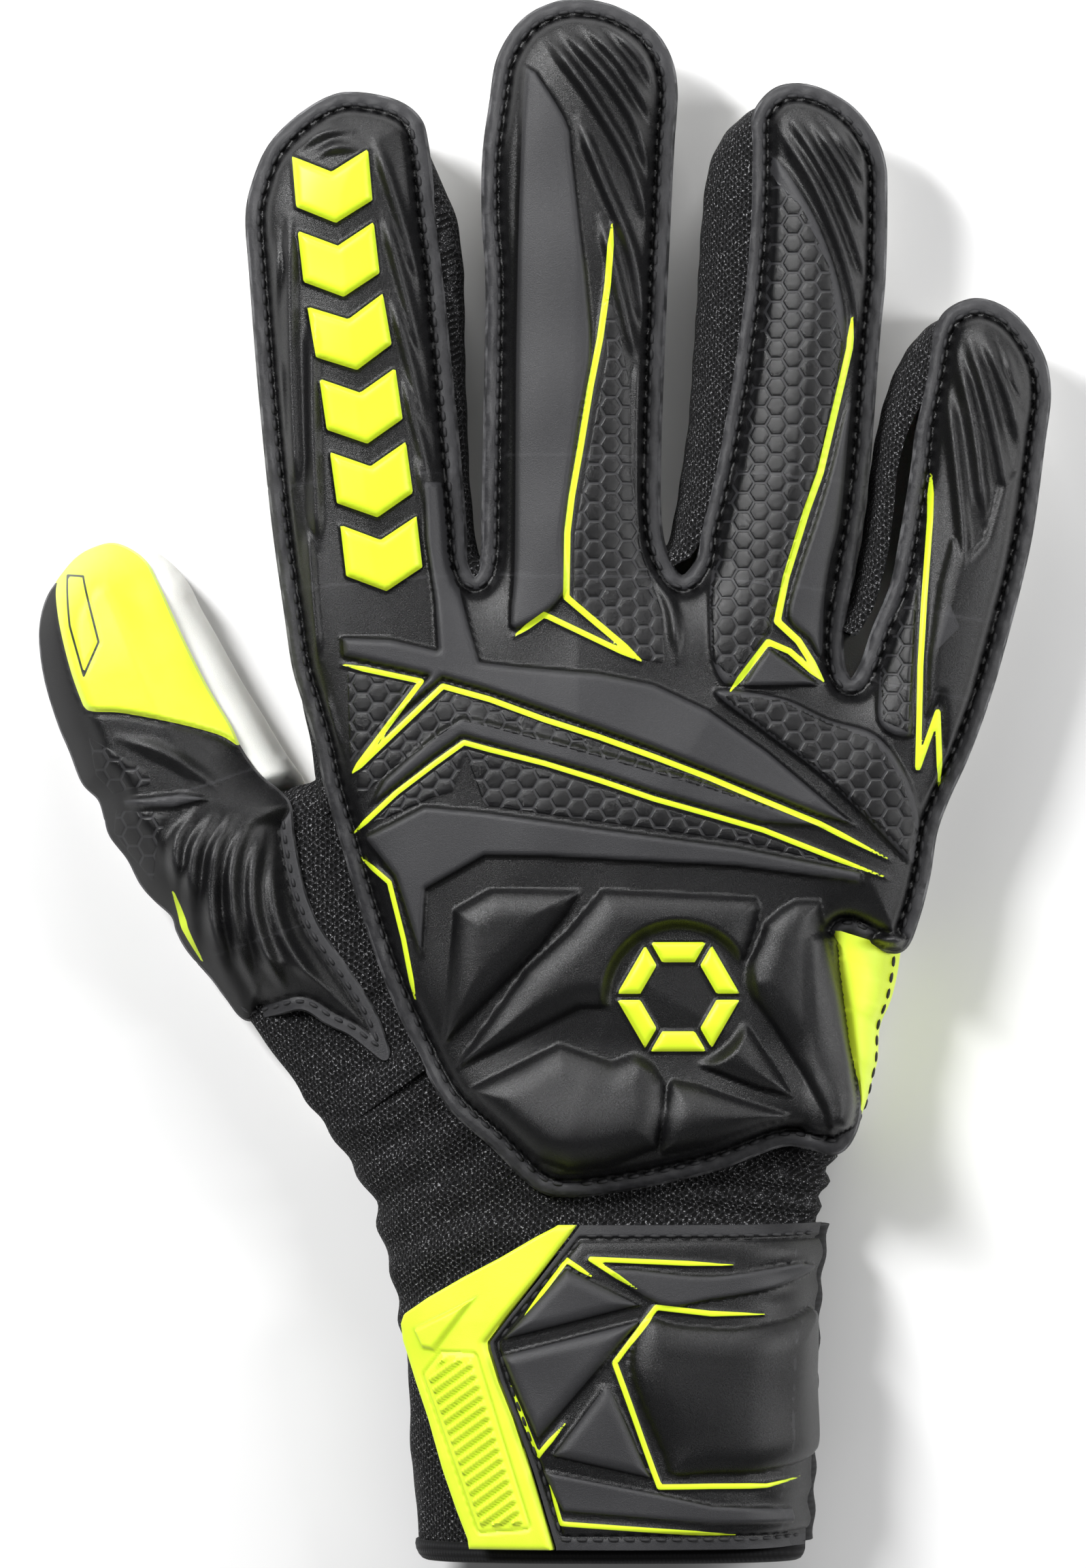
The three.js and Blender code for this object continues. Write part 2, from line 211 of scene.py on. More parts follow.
def follow(piece, digit, part):
    """Bakes a piece's transform into its mesh. Places on the digit's first or second joint are found, but
    nothing uses them.
    """
    if part == "base":
        reach = 0.3
        digit.at(digit.start + reach)
        digit.at(digit.middle - reach)
        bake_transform(piece)
    else:
        half = digit.joint - digit.middle - 0.5
        digit.at(digit.joint - half)
        digit.at(digit.joint + half)
        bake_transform(piece)


# ---- Making meshes --------------------------------------------------------------------------------


def make_object(
    name, points, faces, materials, smooth_angle=None, normals=None, values=None, face_slots=None
):
    """A mesh object from points in millimetres. values are numbers per point for the materials, and
    face_slots says which of the materials each face has."""
    mesh = bpy.data.meshes.new(name)
    mesh.from_pydata((np.asarray(points, float) * MM).tolist(), [], [list(map(int, f)) for f in faces])
    rest = mesh.attributes.new("rest", "FLOAT_VECTOR", "POINT")
    rest.data.foreach_set("vector", np.asarray(points, np.float32).ravel())
    for key, numbers in (values or {}).items():
        layer = mesh.attributes.new(key, "FLOAT", "POINT")
        layer.data.foreach_set("value", np.asarray(numbers, np.float32))
    for material in materials:
        mesh.materials.append(material)
    if face_slots is not None:
        mesh.polygons.foreach_set("material_index", np.asarray(face_slots, np.int32))
    mesh.polygons.foreach_set("use_smooth", np.ones(len(mesh.polygons), bool))
    mesh.update()
    if normals is not None:
        mesh.normals_split_custom_set(normals)
    elif smooth_angle is not None:
        mesh.set_sharp_from_angle(angle=math.radians(smooth_angle))
    obj = bpy.data.objects.new(name, mesh)
    bpy.context.scene.collection.objects.link(obj)
    return obj


def triangulate(outline, spacing, cuts=()):
    """Points and triangles that fill an outline, with edges along the cut lines."""
    outline = np.asarray(outline, float)
    lines = [np.asarray(c, float) for c in cuts]
    low, high = outline.min(0), outline.max(0)
    rows = np.arange(low[1], high[1], spacing * 0.866)
    grid = []
    for i, y in enumerate(rows):
        x = np.arange(low[0] + (i % 2) * spacing / 2, high[0], spacing)
        grid.append(np.column_stack([x, np.full(len(x), y)]))
    grid = np.vstack(grid)
    grid = grid[inside(grid, outline)]
    keep = distance(grid, outline, closed=True, reach=spacing) > spacing * 0.45
    for line in lines:
        keep &= distance(grid, line, reach=spacing) > spacing * 0.45
    grid = grid[keep]
    points, edges = [*outline.tolist()], [(i, (i + 1) % len(outline)) for i in range(len(outline))]
    for line in lines:
        first = len(points)
        points.extend(line.tolist())
        edges.extend((first + i, first + i + 1) for i in range(len(line) - 1))
    points.extend(grid.tolist())
    coords, _, faces, *_ = delaunay_2d_cdt([Vector(p) for p in points], edges, [], 1, 1e-4)
    coords = np.array([tuple(c) for c in coords])
    faces = np.array([f for f in faces if len(f) == 3])
    a, b, c = (coords[faces[:, i]] for i in range(3))
    area = (b[:, 0] - a[:, 0]) * (c[:, 1] - a[:, 1]) - (b[:, 1] - a[:, 1]) * (c[:, 0] - a[:, 0])
    faces[area < 0] = faces[area < 0][:, ::-1]
    return coords, faces[np.abs(area) > 1e-6]


def surface_normals(points, faces):
    """A smooth surface's normal at each point."""
    a, b, c = (points[faces[:, i]] for i in range(3))
    face_normals = np.cross(b - a, c - a)
    normals = np.zeros_like(points)
    for i in range(3):
        np.add.at(normals, faces[:, i], face_normals)
    return normals / np.maximum(np.linalg.norm(normals, axis=1), 1e-12)[:, None]


class Shell:
    """Triangles in the plane with a top and an underside, cut into closed pieces that are shaded as one."""

    def __init__(self, plan, faces, top, under, values=None):
        self.plan, self.faces, self.top, self.under = plan, faces, top, under
        self.values = values or {}
        self.top_normals = surface_normals(np.column_stack([plan, top]), faces)
        self.under_normals = surface_normals(np.column_stack([plan, under]), faces[:, ::-1])

    def centres(self):
        return self.plan[self.faces].mean(1)

    def piece(self, name, chosen, materials, spread=0.0):
        """The closed piece over the chosen triangles. Its rim leans out by spread towards the underside,
        and shows the last of the materials."""
        used, faces = np.unique(self.faces[chosen], return_inverse=True)
        faces = faces.reshape(-1, 3)
        plan, count = self.plan[used], len(used)
        edges = np.vstack([faces[:, [0, 1]], faces[:, [1, 2]], faces[:, [2, 0]]])
        seen = {(int(a), int(b)) for a, b in edges}
        rim = np.array([(a, b) for a, b in seen if (b, a) not in seen])
        out = np.zeros((count, 2))
        direction = plan[rim[:, 1]] - plan[rim[:, 0]]
        side = np.column_stack([direction[:, 1], -direction[:, 0]])
        for i in range(2):
            np.add.at(out, rim[:, i], side)
        length = np.linalg.norm(out, axis=1)
        out[length > 0] *= spread / length[length > 0][:, None]
        above = np.column_stack([plan, self.top[used]])
        below = np.column_stack([plan + out, self.under[used]])
        points = np.vstack([above, below])
        first, second = rim.T
        sides = np.vstack([
            np.column_stack([first, first + count, second + count]),
            np.column_stack([first, second + count, second]),
        ])
        everything = np.vstack([faces, faces[:, ::-1] + count, sides])
        a, b, c = (points[everything[:, i]] for i in range(3))
        flat = np.cross(b - a, c - a)
        flat /= np.maximum(np.linalg.norm(flat, axis=1), 1e-12)[:, None]
        loops = np.repeat(flat[:, None], 3, axis=1)
        loops[: len(faces)] = self.top_normals[used][faces]
        loops[len(faces) : 2 * len(faces)] = self.under_normals[used][faces[:, ::-1]]
        slots = np.zeros(len(everything), int)
        slots[2 * len(faces) :] = len(materials) - 1
        return make_object(
            name, points, everything, materials, normals=loops.reshape(-1, 3).tolist(),
            values={key: np.tile(v[used], 2) for key, v in self.values.items()}, face_slots=slots,
        )


def closed_grid(name, outer, inner, material, wrap=False, smooth_angle=50, values=None):
    """A closed solid between two grids of points, outer and inner, of the same shape (rows, columns, 3)."""
    rows, columns = outer.shape[:2]
    index = np.arange(rows * columns).reshape(rows, columns)
    if wrap:
        index = np.hstack([index, index[:, :1]])
    a, b, c, d = index[:-1, :-1], index[:-1, 1:], index[1:, 1:], index[1:, :-1]
    quads = np.column_stack([v.ravel() for v in (a, b, c, d)])
    count = rows * columns
    faces = [quads, quads[:, ::-1] + count]

    def rim(line):
        p, q = line[:-1], line[1:]
        faces.append(np.column_stack([q, p, p + count, q + count]))

    rim(index[0])
    rim(index[-1][::-1])
    if not wrap:
        rim(index[:, 0][::-1])
        rim(index[:, -1])
    points = np.vstack([outer.reshape(-1, 3), inner.reshape(-1, 3)])
    faces = np.vstack(faces)
    doubled = {key: np.tile(v.ravel(), 2) for key, v in (values or {}).items()}
    obj = make_object(name, points, faces, [material], smooth_angle=smooth_angle, values=doubled)
    fix_orientation(obj)
    return obj


def flat_size(grid, wrap=False):
    """Width and length, in metres, of the cloth that a grid of points (rows, columns, 3) was cut from: the
    mean run of its columns and of its rows."""
    if wrap:
        grid = np.concatenate([grid, grid[:, :1]], axis=1)
    width = np.linalg.norm(np.diff(grid, axis=0), axis=2).sum(0).mean()
    length = np.linalg.norm(np.diff(grid, axis=1), axis=2).sum(1).mean()
    return float(width * MM), float(length * MM)


def fix_orientation(obj):
    """Turns a closed mesh's faces outwards."""
    mesh = obj.data
    mesh.calc_loop_triangles()
    co = np.array([v.co for v in mesh.vertices])
    tri = np.array([t.vertices for t in mesh.loop_triangles])
    volume = np.einsum("ij,ij->i", co[tri[:, 0]], np.cross(co[tri[:, 1]], co[tri[:, 2]])).sum()
    if volume < 0:
        mesh.flip_normals()


# ---- Materials ------------------------------------------------------------------------------------


class Nodes:
    """Short names for building a material's nodes."""

    def __init__(self, name):
        self.material = bpy.data.materials.new(name)
        self.material.use_nodes = True
        self.tree = self.material.node_tree
        self.shader = self.tree.nodes["Principled BSDF"]
        self.rest = self.node("ShaderNodeAttribute", attribute_name="rest").outputs["Vector"]

    def node(self, kind, **settings):
        made = self.tree.nodes.new(kind)
        for key, value in settings.items():
            setattr(made, key, value)
        return made

    def link(self, source, target):
        if isinstance(source, (int, float, tuple)):
            target.default_value = source
        else:
            self.tree.links.new(source, target)

    def math(self, operation, a, b):
        made = self.node("ShaderNodeMath", operation=operation)
        self.link(a, made.inputs[0])
        self.link(b, made.inputs[1])
        return made.outputs[0]

    def vector(self, operation, a, b=(0, 0, 0)):
        made = self.node("ShaderNodeVectorMath", operation=operation)
        self.link(a, made.inputs[0])
        self.link(b, made.inputs[1])
        return made.outputs["Value" if operation == "DOT_PRODUCT" else "Vector"]

    def value(self, key):
        """A number that the mesh holds for each point."""
        return self.node("ShaderNodeAttribute", attribute_name=key).outputs["Fac"]

    def noise(self, scale, detail=3.0, roughness=0.5, where=None):
        made = self.node("ShaderNodeTexNoise")
        self.link(where or self.rest, made.inputs["Vector"])
        made.inputs["Scale"].default_value = scale
        made.inputs["Detail"].default_value = detail
        made.inputs["Roughness"].default_value = roughness
        return made.outputs["Fac"]

    def step(self, value, low, high):
        """0 below low, 1 above high, and a soft step between."""
        made = self.node("ShaderNodeMapRange", interpolation_type="SMOOTHSTEP")
        self.link(value, made.inputs["Value"])
        made.inputs["From Min"].default_value = low
        made.inputs["From Max"].default_value = high
        return made.outputs["Result"]

    def range(self, value, low, high, to_low, to_high):
        made = self.node("ShaderNodeMapRange")
        self.link(value, made.inputs["Value"])
        for key, number in zip(("From Min", "From Max", "To Min", "To Max"), (low, high, to_low, to_high)):
            made.inputs[key].default_value = number
        return made.outputs["Result"]

    def mix(self, factor, a, b):
        made = self.node("ShaderNodeMix", data_type="RGBA")
        self.link(factor, made.inputs["Factor"])
        for value, target in ((a, made.inputs[6]), (b, made.inputs[7])):
            self.link((*value, 1) if isinstance(value, tuple) else value, target)
        return made.outputs[2]

    def mix_value(self, factor, a, b):
        made = self.node("ShaderNodeMix", data_type="FLOAT")
        self.link(factor, made.inputs["Factor"])
        self.link(a, made.inputs[2])
        self.link(b, made.inputs[3])
        return made.outputs[0]

    def bump(self, height, distance_mm, strength=1.0, onto=None):
        made = self.node("ShaderNodeBump")
        made.inputs["Distance"].default_value = distance_mm * MM
        made.inputs["Strength"].default_value = strength
        self.link(height, made.inputs["Height"])
        if onto is not None:
            self.link(onto, made.inputs["Normal"])
        return made.outputs["Normal"]

    def hexagons(self, size, where=None):
        """Distance from the edges of hexagonal cells of this size: 0 on an edge, 0.5 in a cell's middle."""
        cell = (HEX_WIDTH, 1.0, 1.0)
        half = tuple(c / 2 for c in cell)
        flat = self.vector("MULTIPLY", where or self.rest, (1 / size, 1 / size, 0))

        def from_middle(shift_x, shift_y):
            shift = (HEX_CELLS * HEX_WIDTH + shift_x, HEX_CELLS + shift_y, 0)
            v = self.vector("MODULO", self.vector("ADD", flat, shift), cell)
            v = self.vector("SUBTRACT", v, half)
            v = self.vector("ABSOLUTE", self.vector("MULTIPLY", v, (1, 1, 0)))
            slanted = self.vector("DOT_PRODUCT", v, (HEX_WIDTH / 2, 0.5, 0))
            upright = self.vector("DOT_PRODUCT", v, (0, 1, 0))
            return self.math("MAXIMUM", slanted, upright)

        nearest = self.math("MINIMUM", from_middle(0, 0), from_middle(half[0], half[1]))
        return self.math("SUBTRACT", 0.5, nearest)

    def finish(self, color, roughness, normal=None, **fixed):
        """Links colour, roughness and normal, sets the shader's other inputs, and gives the material."""
        self.link(color, self.shader.inputs["Base Color"])
        self.link(roughness, self.shader.inputs["Roughness"])
        if normal is not None:
            self.link(normal, self.shader.inputs["Normal"])
        for key, value in fixed.items():
            self.shader.inputs[key.replace("_", " ")].default_value = value
        return self.material


NEON = (0.73, 0.91, 0.035)
NEON_DEEP = (0.62, 0.82, 0.012)


def moulded_skin():
    """Black moulded rubber foam: grey satin pads, glossy grooves, hexagon zones, neon lines and painted
    crest highlights.
    """
    n = Nodes("moulded_skin")
    pad = n.step(n.value("pad"), -0.12, 0.12)
    neon = n.step(n.value("neon"), -0.06, 0.06)
    hexed = n.step(n.value("hex"), -0.1, 0.2)
    cells = n.hexagons(HEX_SIZE)
    line = n.step(cells, 0.09, 0.04)
    grain = n.noise(2.6, 4, 0.6)
    fine = n.noise(9.0, 2, 0.6)
    cloudy = n.noise(0.06, 2)
    pad_color = n.mix(grain, (0.014, 0.014, 0.0155), (0.032, 0.032, 0.035))
    pale_pad = n.mix(grain, (0.017, 0.017, 0.019), (0.036, 0.036, 0.039))
    pad_color = n.mix(n.step(cloudy, 0.35, 0.7), pad_color, pale_pad)
    groove = n.mix(grain, (0.0028, 0.0028, 0.0031), (0.0062, 0.0062, 0.0068))
    hex_color = n.mix(line, (0.0040, 0.0040, 0.0045), (0.020, 0.020, 0.022))
    base = n.mix(hexed, groove, hex_color)
    # Painted highlight: the colour turns lighter on sharp convex crests and edges.
    crest_highlight = n.step(n.node("ShaderNodeNewGeometry").outputs["Pointiness"], 0.53, 0.60)
    base = n.mix(pad, base, pad_color)
    base = n.mix(n.math("MULTIPLY", crest_highlight, 0.35), base, (0.05, 0.05, 0.054))
    yellow = n.mix(fine, NEON_DEEP, NEON)
    color = n.mix(neon, base, yellow)
    rough = n.mix_value(pad, n.range(fine, 0.3, 0.7, 0.22, 0.33), n.range(fine, 0.3, 0.7, 0.38, 0.54))
    rough = n.mix_value(hexed, rough, n.mix_value(line, 0.25, 0.40))
    rough = n.mix_value(neon, rough, 0.45)
    rough = n.mix_value(n.value("matt"), rough, 0.8)
    plain = n.math("SUBTRACT", 1.0, neon)
    normal = n.bump(n.math("MULTIPLY", fine, plain), 0.09, 0.55)
    normal = n.bump(n.math("MULTIPLY", n.noise(4.0, 3, 0.65), plain), 0.07, 0.7, onto=normal)
    normal = n.bump(n.math("MULTIPLY", hexed, n.step(cells, 0.03, 0.11)), 0.16, 0.6, onto=normal)
    return n.finish(color, rough, normal, Specular_IOR_Level=0.42)


def raw_edge():
    """The cut edge of the foam: dark, with pale patches of fibre."""
    n = Nodes("raw_edge")
    speck = n.noise(5.0, 3)
    patchy = n.noise(0.25, 3)
    fibre = n.math("MULTIPLY", speck, n.step(patchy, 0.4, 0.65))
    color = n.mix(fibre, (0.02, 0.02, 0.022), (0.24, 0.24, 0.25))
    return n.finish(color, 0.8, n.bump(speck, 0.1))


def neon_rubber():
    """Satin neon rubber with painted shade in its valleys, and a drawn dark mark."""
    n = Nodes("neon_rubber")
    fine = n.noise(7.0, 3, 0.6)
    broad = n.noise(0.12, 2)
    color = n.mix(n.step(broad, 0.3, 0.7), n.mix(fine, NEON_DEEP, NEON), NEON)
    # Painted shade: the neon darkens where the mesh marks the valleys of its relief.
    color = n.mix(n.math("MULTIPLY", n.value("valley_shade"), 0.55), color, (0.36, 0.52, 0.002))
    color = n.mix(n.step(n.value("mark"), 0.0, 0.16), color, (0.01, 0.012, 0.004))
    rough = n.range(fine, 0.3, 0.7, 0.40, 0.55)
    return n.finish(color, rough, n.bump(fine, 0.06, 0.6), Sheen_Weight=0.15)


def knit():
    """A black mesh knit of small staggered loops with glinting threads."""
    n = Nodes("black_knit")
    x, y, z = (n.vector("DOT_PRODUCT", n.rest, axis) for axis in ((1, 0, 0), (0, 1, 0), (0, 0, 1)))
    around = n.math("ADD", x, n.math("MULTIPLY", z, 0.85))
    along = n.math("ADD", y, n.math("MULTIPLY", z, 0.4))
    wavy = n.math("MULTIPLY", n.noise(0.35, 2), 1.4)
    where = n.node("ShaderNodeCombineXYZ")
    n.link(n.math("ADD", around, wavy), where.inputs["X"])
    n.link(n.math("MULTIPLY", along, 0.8), where.inputs["Y"])
    cells = n.hexagons(1.0, where.outputs["Vector"])
    loop = n.step(cells, 0.08, 0.30)
    fuzz = n.noise(3.4, 3, 0.7)
    # Painted shade darkens the hollows of the loops, and painted glints light specks on the threads.
    color = n.mix(loop, (0.009, 0.009, 0.010), (0.0003, 0.0003, 0.0004))
    glint = n.math("MULTIPLY", n.step(fuzz, 0.57, 0.66), n.math("SUBTRACT", 1.0, loop))
    color = n.mix(glint, color, (0.36, 0.36, 0.37))
    normal = n.bump(n.math("SUBTRACT", 1.0, loop), 0.30, 0.9)
    normal = n.bump(fuzz, 0.08, 0.5, onto=normal)
    return n.finish(color, 0.85, normal, Sheen_Weight=0.02, Specular_IOR_Level=0.2)


def latex():
    """White latex foam with small pores."""
    n = Nodes("palm_latex")
    pores = n.noise(3.2, 5, 0.7)
    broad = n.noise(0.08, 3)
    color = n.mix(n.step(broad, 0.3, 0.75), (0.72, 0.71, 0.67), (0.80, 0.79, 0.75))
    color = n.mix(n.step(pores, 0.62, 0.75), color, (0.62, 0.60, 0.56))
    rough = n.range(pores, 0.3, 0.7, 0.65, 0.85)
    return n.finish(color, rough, n.bump(pores, 0.12, 0.7), Subsurface_Weight=0.05)


def thread():
    """Black sewing thread."""
    n = Nodes("black_thread")
    twist = n.noise(8.0, 2, where=n.vector("MULTIPLY", n.rest, (1.0, 2.5, 1.0)))
    color = n.mix(twist, (0.006, 0.006, 0.007), (0.03, 0.03, 0.033))
    return n.finish(color, 0.6, n.bump(twist, 0.08))


def webbing():
    """Black woven elastic: cords along it, crossed by finer weft threads."""
    n = Nodes("elastic_webbing")
    y = n.vector("DOT_PRODUCT", n.rest, (0, 1, 0))
    x = n.vector("DOT_PRODUCT", n.rest, (1, 0, 0.6))
    cord = n.math("DIVIDE", n.math("PINGPONG", y, 0.6), 0.6)
    weft = n.math("DIVIDE", n.math("PINGPONG", x, 0.35), 0.35)
    height = n.math("MULTIPLY", cord, n.math("ADD", 0.6, n.math("MULTIPLY", weft, 0.4)))
    # Painted light: lighter on the raised cords and darker in the dips between them, varied at random.
    crest_highlight = n.math("MULTIPLY", height, n.range(n.noise(6.0, 3), 0.3, 0.7, 0.5, 1.0))
    color = n.mix(crest_highlight, (0.003, 0.003, 0.0035), (0.02, 0.02, 0.022))
    return n.finish(color, 0.85, n.bump(height, 0.25, 0.9), Sheen_Weight=0.06, Specular_IOR_Level=0.25)


def hook_and_loop():
    """Black nap of hooks or loops."""
    n = Nodes("hook_and_loop")
    nap = n.noise(5.0, 5, 0.8)
    color = n.mix(nap, (0.003, 0.003, 0.0035), (0.024, 0.024, 0.026))
    return n.finish(color, 0.95, n.bump(nap, 0.4, 1.0), Sheen_Weight=0.08, Specular_IOR_Level=0.2)


def spine_plastic():
    """On CAD nodes, which never bend, so object coordinates stay in place."""
    n = Nodes("spine_plastic")
    where = n.node("ShaderNodeTexCoord").outputs["Object"]
    grain = n.noise(900.0, 3, where=where)
    color = n.mix(grain, (0.02, 0.02, 0.022), (0.045, 0.045, 0.05))
    return n.finish(color, n.range(grain, 0.3, 0.7, 0.3, 0.5), n.bump(grain, 0.05))


SKIN, RAW_EDGE, NEON_RUBBER, KNIT, LATEX = moulded_skin(), raw_edge(), neon_rubber(), knit(), latex()
THREAD, WEBBING, HOOK_LOOP, SPINE = thread(), webbing(), hook_and_loop(), spine_plastic()

# ---- The back of the hand and fingers: outline ----------------------------------------------------

# Edge of the moulded back, clockwise from the middle of the wrist side.
BACK_EDGE = [
    (4.9, -57), (-1.4, -55.6), (-9.5, -47.9), (-18, -39.9), (-24.3, -28.2), (-29, -17.5), (-33.3, -5),
    (-36.7, 6.7), (-39.8, 17.1), (-41.8, 26), (-43.8, 32.9), (-45.9, 40),
    (-47.4, 50), (-49.5, 65), (-51.1, 80), (-52.5, 95), (-53.8, 112), (-54.5, 123), (-53, 130),
    (-50.2, 136), (-45.3, 141), (-39.6, 144.5), (-34.7, 145.3), (-27.7, 144), (-23.4, 141), (-21.8, 136),
    (-20.2, 122), (-18.8, 110), (-17.5, 96), (-16.2, 82), (-15, 68), (-14.4, 60), (-12.8, 56.4),
    (-11.3, 60), (-11, 70), (-10.7, 85), (-10.3, 110), (-11, 122), (-10.9, 134), (-9.6, 144), (-8.2, 152),
    (-4.1, 158.5), (1.4, 161.7), (7, 162.4), (13.3, 161), (19.2, 157.5), (22.7, 152.5), (24, 146),
    (23.4, 136), (22.6, 120), (21.7, 100), (21, 80), (21, 68), (22.2, 61), (25.2, 56.4), (28.2, 59.5),
    (28.9, 64.5), (30.8, 72), (32.5, 80), (35.1, 95), (37, 109), (38.1, 122), (38.4, 134), (38.6, 141),
    (41.7, 145.5), (45.8, 146.9), (50.9, 146), (56.5, 142.7), (60.4, 137.8), (62.3, 132.6), (62.6, 126.2),
    (62.3, 112), (61.2, 100), (59.7, 80), (58.6, 70), (56.1, 55), (54.7, 47), (54.8, 40.5), (56.4, 37.4),
    (58.6, 40.5), (61, 47.5), (64.1, 55), (65.8, 63.5), (67.8, 75.6), (69, 85.7), (70.6, 93.8),
    (72.2, 101.8), (75, 105.8), (80.3, 107.3), (86.4, 104.5), (91.2, 97.8), (92.7, 90.5), (91.6, 80.8),
    (89.6, 65.9), (87.4, 55.5), (84.2, 43.3), (81.3, 33.5), (77.7, 23.8), (73.9, 15.4), (71.8, 9.4),
    (70.5, 1.4), (68.5, -6.3), (66.2, -11.6), (62.5, -12), (55.4, -8.9), (54.6, -13), (55.5, -20.8),
    (56.7, -30), (57.9, -40), (56.6, -46), (53.5, -49.2), (48, -48), (43, -47.9), (32, -52),
    (22.8, -54.3), (14, -56),
]

SKIN_THICKNESS = 2.3
EDGE_Z = 25.0  # height of the flange round the moulded back
FLANGE = 3.1  # its width, up to the moulding's first groove


def ridge(width, height, *points):
    """A rounded ridge along a curve, tapered at its ends."""
    return {"kind": "ridge", "path": smooth(points, 1.5), "width": width, "height": height}


def pad(points, height=1.5, bevel=1.1, rounded=True, satin=True):
    """A raised area with rounded corners and edges. Satin pads are grey, and the others black."""
    outline = smooth(points, 1.5, closed=True) if rounded else np.array(points, float)
    return {"kind": "pad", "outline": outline, "height": height, "bevel": bevel, "satin": satin}


def plate(points, height=1.5, bevel=0.9):
    """A pad with sharp corners."""
    return pad(points, height, bevel, rounded=False)


def pillow(points, height=3.2, bevel=5.5):
    """A black pad that rises softly from its creases."""
    return pad(points, height, bevel, rounded=False, satin=False)


def well(centre, radius):
    """A round seat pressed into the pads."""
    return {"kind": "well", "centre": np.array(centre, float), "radius": radius}


def hexes(points):
    """An area of moulded hexagons."""
    return {"kind": "hex", "outline": np.array(points, float)}


def neon(width, *points, taper=(4, 4)):
    """A raised neon line with corners. It narrows over the taper lengths at its start and its end."""
    return {"kind": "neon", "path": np.array(points, float), "width": width, "taper": taper}


def block(points, height=1.7):
    """A raised neon block with sharp corners."""
    return {"kind": "block", "outline": np.array(points, float), "height": height}


def chevrons():
    """Plain raised neon chevrons down the middle of the index finger."""
    centre = smooth([(-39, 131), (-37.2, 112), (-34.6, 96), (-32, 78), (-29.6, 60), (-28.2, 46)], 0.5)
    run = run_along(centre)
    count, first, pitch, half_thick, half_width, rise = 6, 3.5, 13.6, 4.7, 7.0, 3.6
    upper = [(-half_width, -half_thick), (0, rise - half_thick), (half_width, -half_thick)]
    lower = [(half_width, half_thick), (0, rise + half_thick), (-half_width, half_thick)]
    blocks = []
    for i in range(count):
        s = first + i * pitch
        middle, ahead = place_on(centre, run, s), place_on(centre, run, s + 1)
        down = (ahead - middle) / np.linalg.norm(ahead - middle)
        right = np.array([-down[1], down[0]])
        blocks.append(block([middle + right * a + down * (b - rise / 2) for a, b in upper + lower]))
    return blocks


INDEX_RELIEF = [
    ridge(2.6, 1.5, (-48.8, 119), (-48.9, 107)),
    ridge(3.0, 1.7, (-46.6, 122), (-46.6, 100), (-45.6, 72)),
    ridge(2.6, 1.5, (-42.6, 104), (-42.4, 84), (-41.6, 62)),
    ridge(2.2, 1.2, (-48.2, 98), (-47.6, 80), (-46.3, 62), (-44.4, 48)),
    ridge(2.0, 1.2, (-43.4, 66), (-42.4, 52), (-41.4, 41)),
    ridge(2.8, 1.5, (-30.9, 136.6), (-26.2, 122), (-22.6, 109.6)),
    ridge(2.8, 1.5, (-29.4, 123), (-25.8, 110), (-22.4, 96)),
    ridge(2.8, 1.5, (-28, 108), (-24.4, 95), (-21.6, 82)),
    ridge(2.6, 1.4, (-26, 94), (-22.4, 80), (-20, 68)),
    ridge(2.6, 1.3, (-23.6, 80), (-20.2, 66), (-18.6, 58)),
    ridge(2.4, 1.2, (-46, 134), (-41, 137.6), (-35, 138.4)),
    ridge(2.2, 1.1, (-42.3, 133), (-38.5, 135), (-33.5, 134.6)),
    ridge(2.4, 1.2, (-50.6, 128), (-48.2, 133.4)),
    *chevrons(),
]

MIDDLE_RELIEF = [
    pad([(-3.6, 150), (-4.7, 130), (-5.4, 100), (-5.7, 60), (-6.3, 50), (-5.3, 46.6), (3.4, 52.8),
         (3.6, 64.5), (6.2, 83), (8.6, 97), (8, 109), (6.6, 121), (5.1, 134), (4.2, 139.6),
         (-1.6, 149)], 1.7),
    neon(1.15, (12.4, 121), (11.6, 110), (10.2, 100), (8.4, 91), (6.6, 80), (5, 71), (4.2, 64.5), (4, 52.6),
         (17.8, 40.9)),
    neon(1.0, (17.8, 40.9), (0, 49.4), (-5.6, 45.4), taper=(4, 3)),
    ridge(2.6, 1.6, (6.9, 157.8), (13.3, 151.4), (18.3, 143.7), (19.6, 139.6)),
    ridge(2.8, 1.7, (3.2, 156.9), (11.4, 147.8), (16.9, 139.1), (19.4, 129.6)),
    ridge(2.8, 1.7, (0.3, 155.5), (8.7, 144.1), (16, 131.4), (19.4, 120)),
    ridge(2.8, 1.7, (6.4, 140), (10.1, 130.5), (16, 115.9), (19, 100.4)),
    ridge(2.6, 1.5, (11, 158.2), (17.8, 151.4), (20.4, 145.4)),
    ridge(2.4, 1.4, (10.4, 122), (13, 111.8), (16.9, 95.9)),
    ridge(2.6, 1.5, (17.6, 98), (17.2, 82), (18, 68), (20.4, 58), (23.4, 50), (24.3, 41)),
    hexes([(10.4, 112), (13.2, 104), (15.6, 92), (16, 76), (17.4, 62), (21.5, 50), (22, 40.5), (17.8, 41.2),
           (5.4, 52.2), (5.6, 64), (8.4, 80), (11.6, 97)]),
]

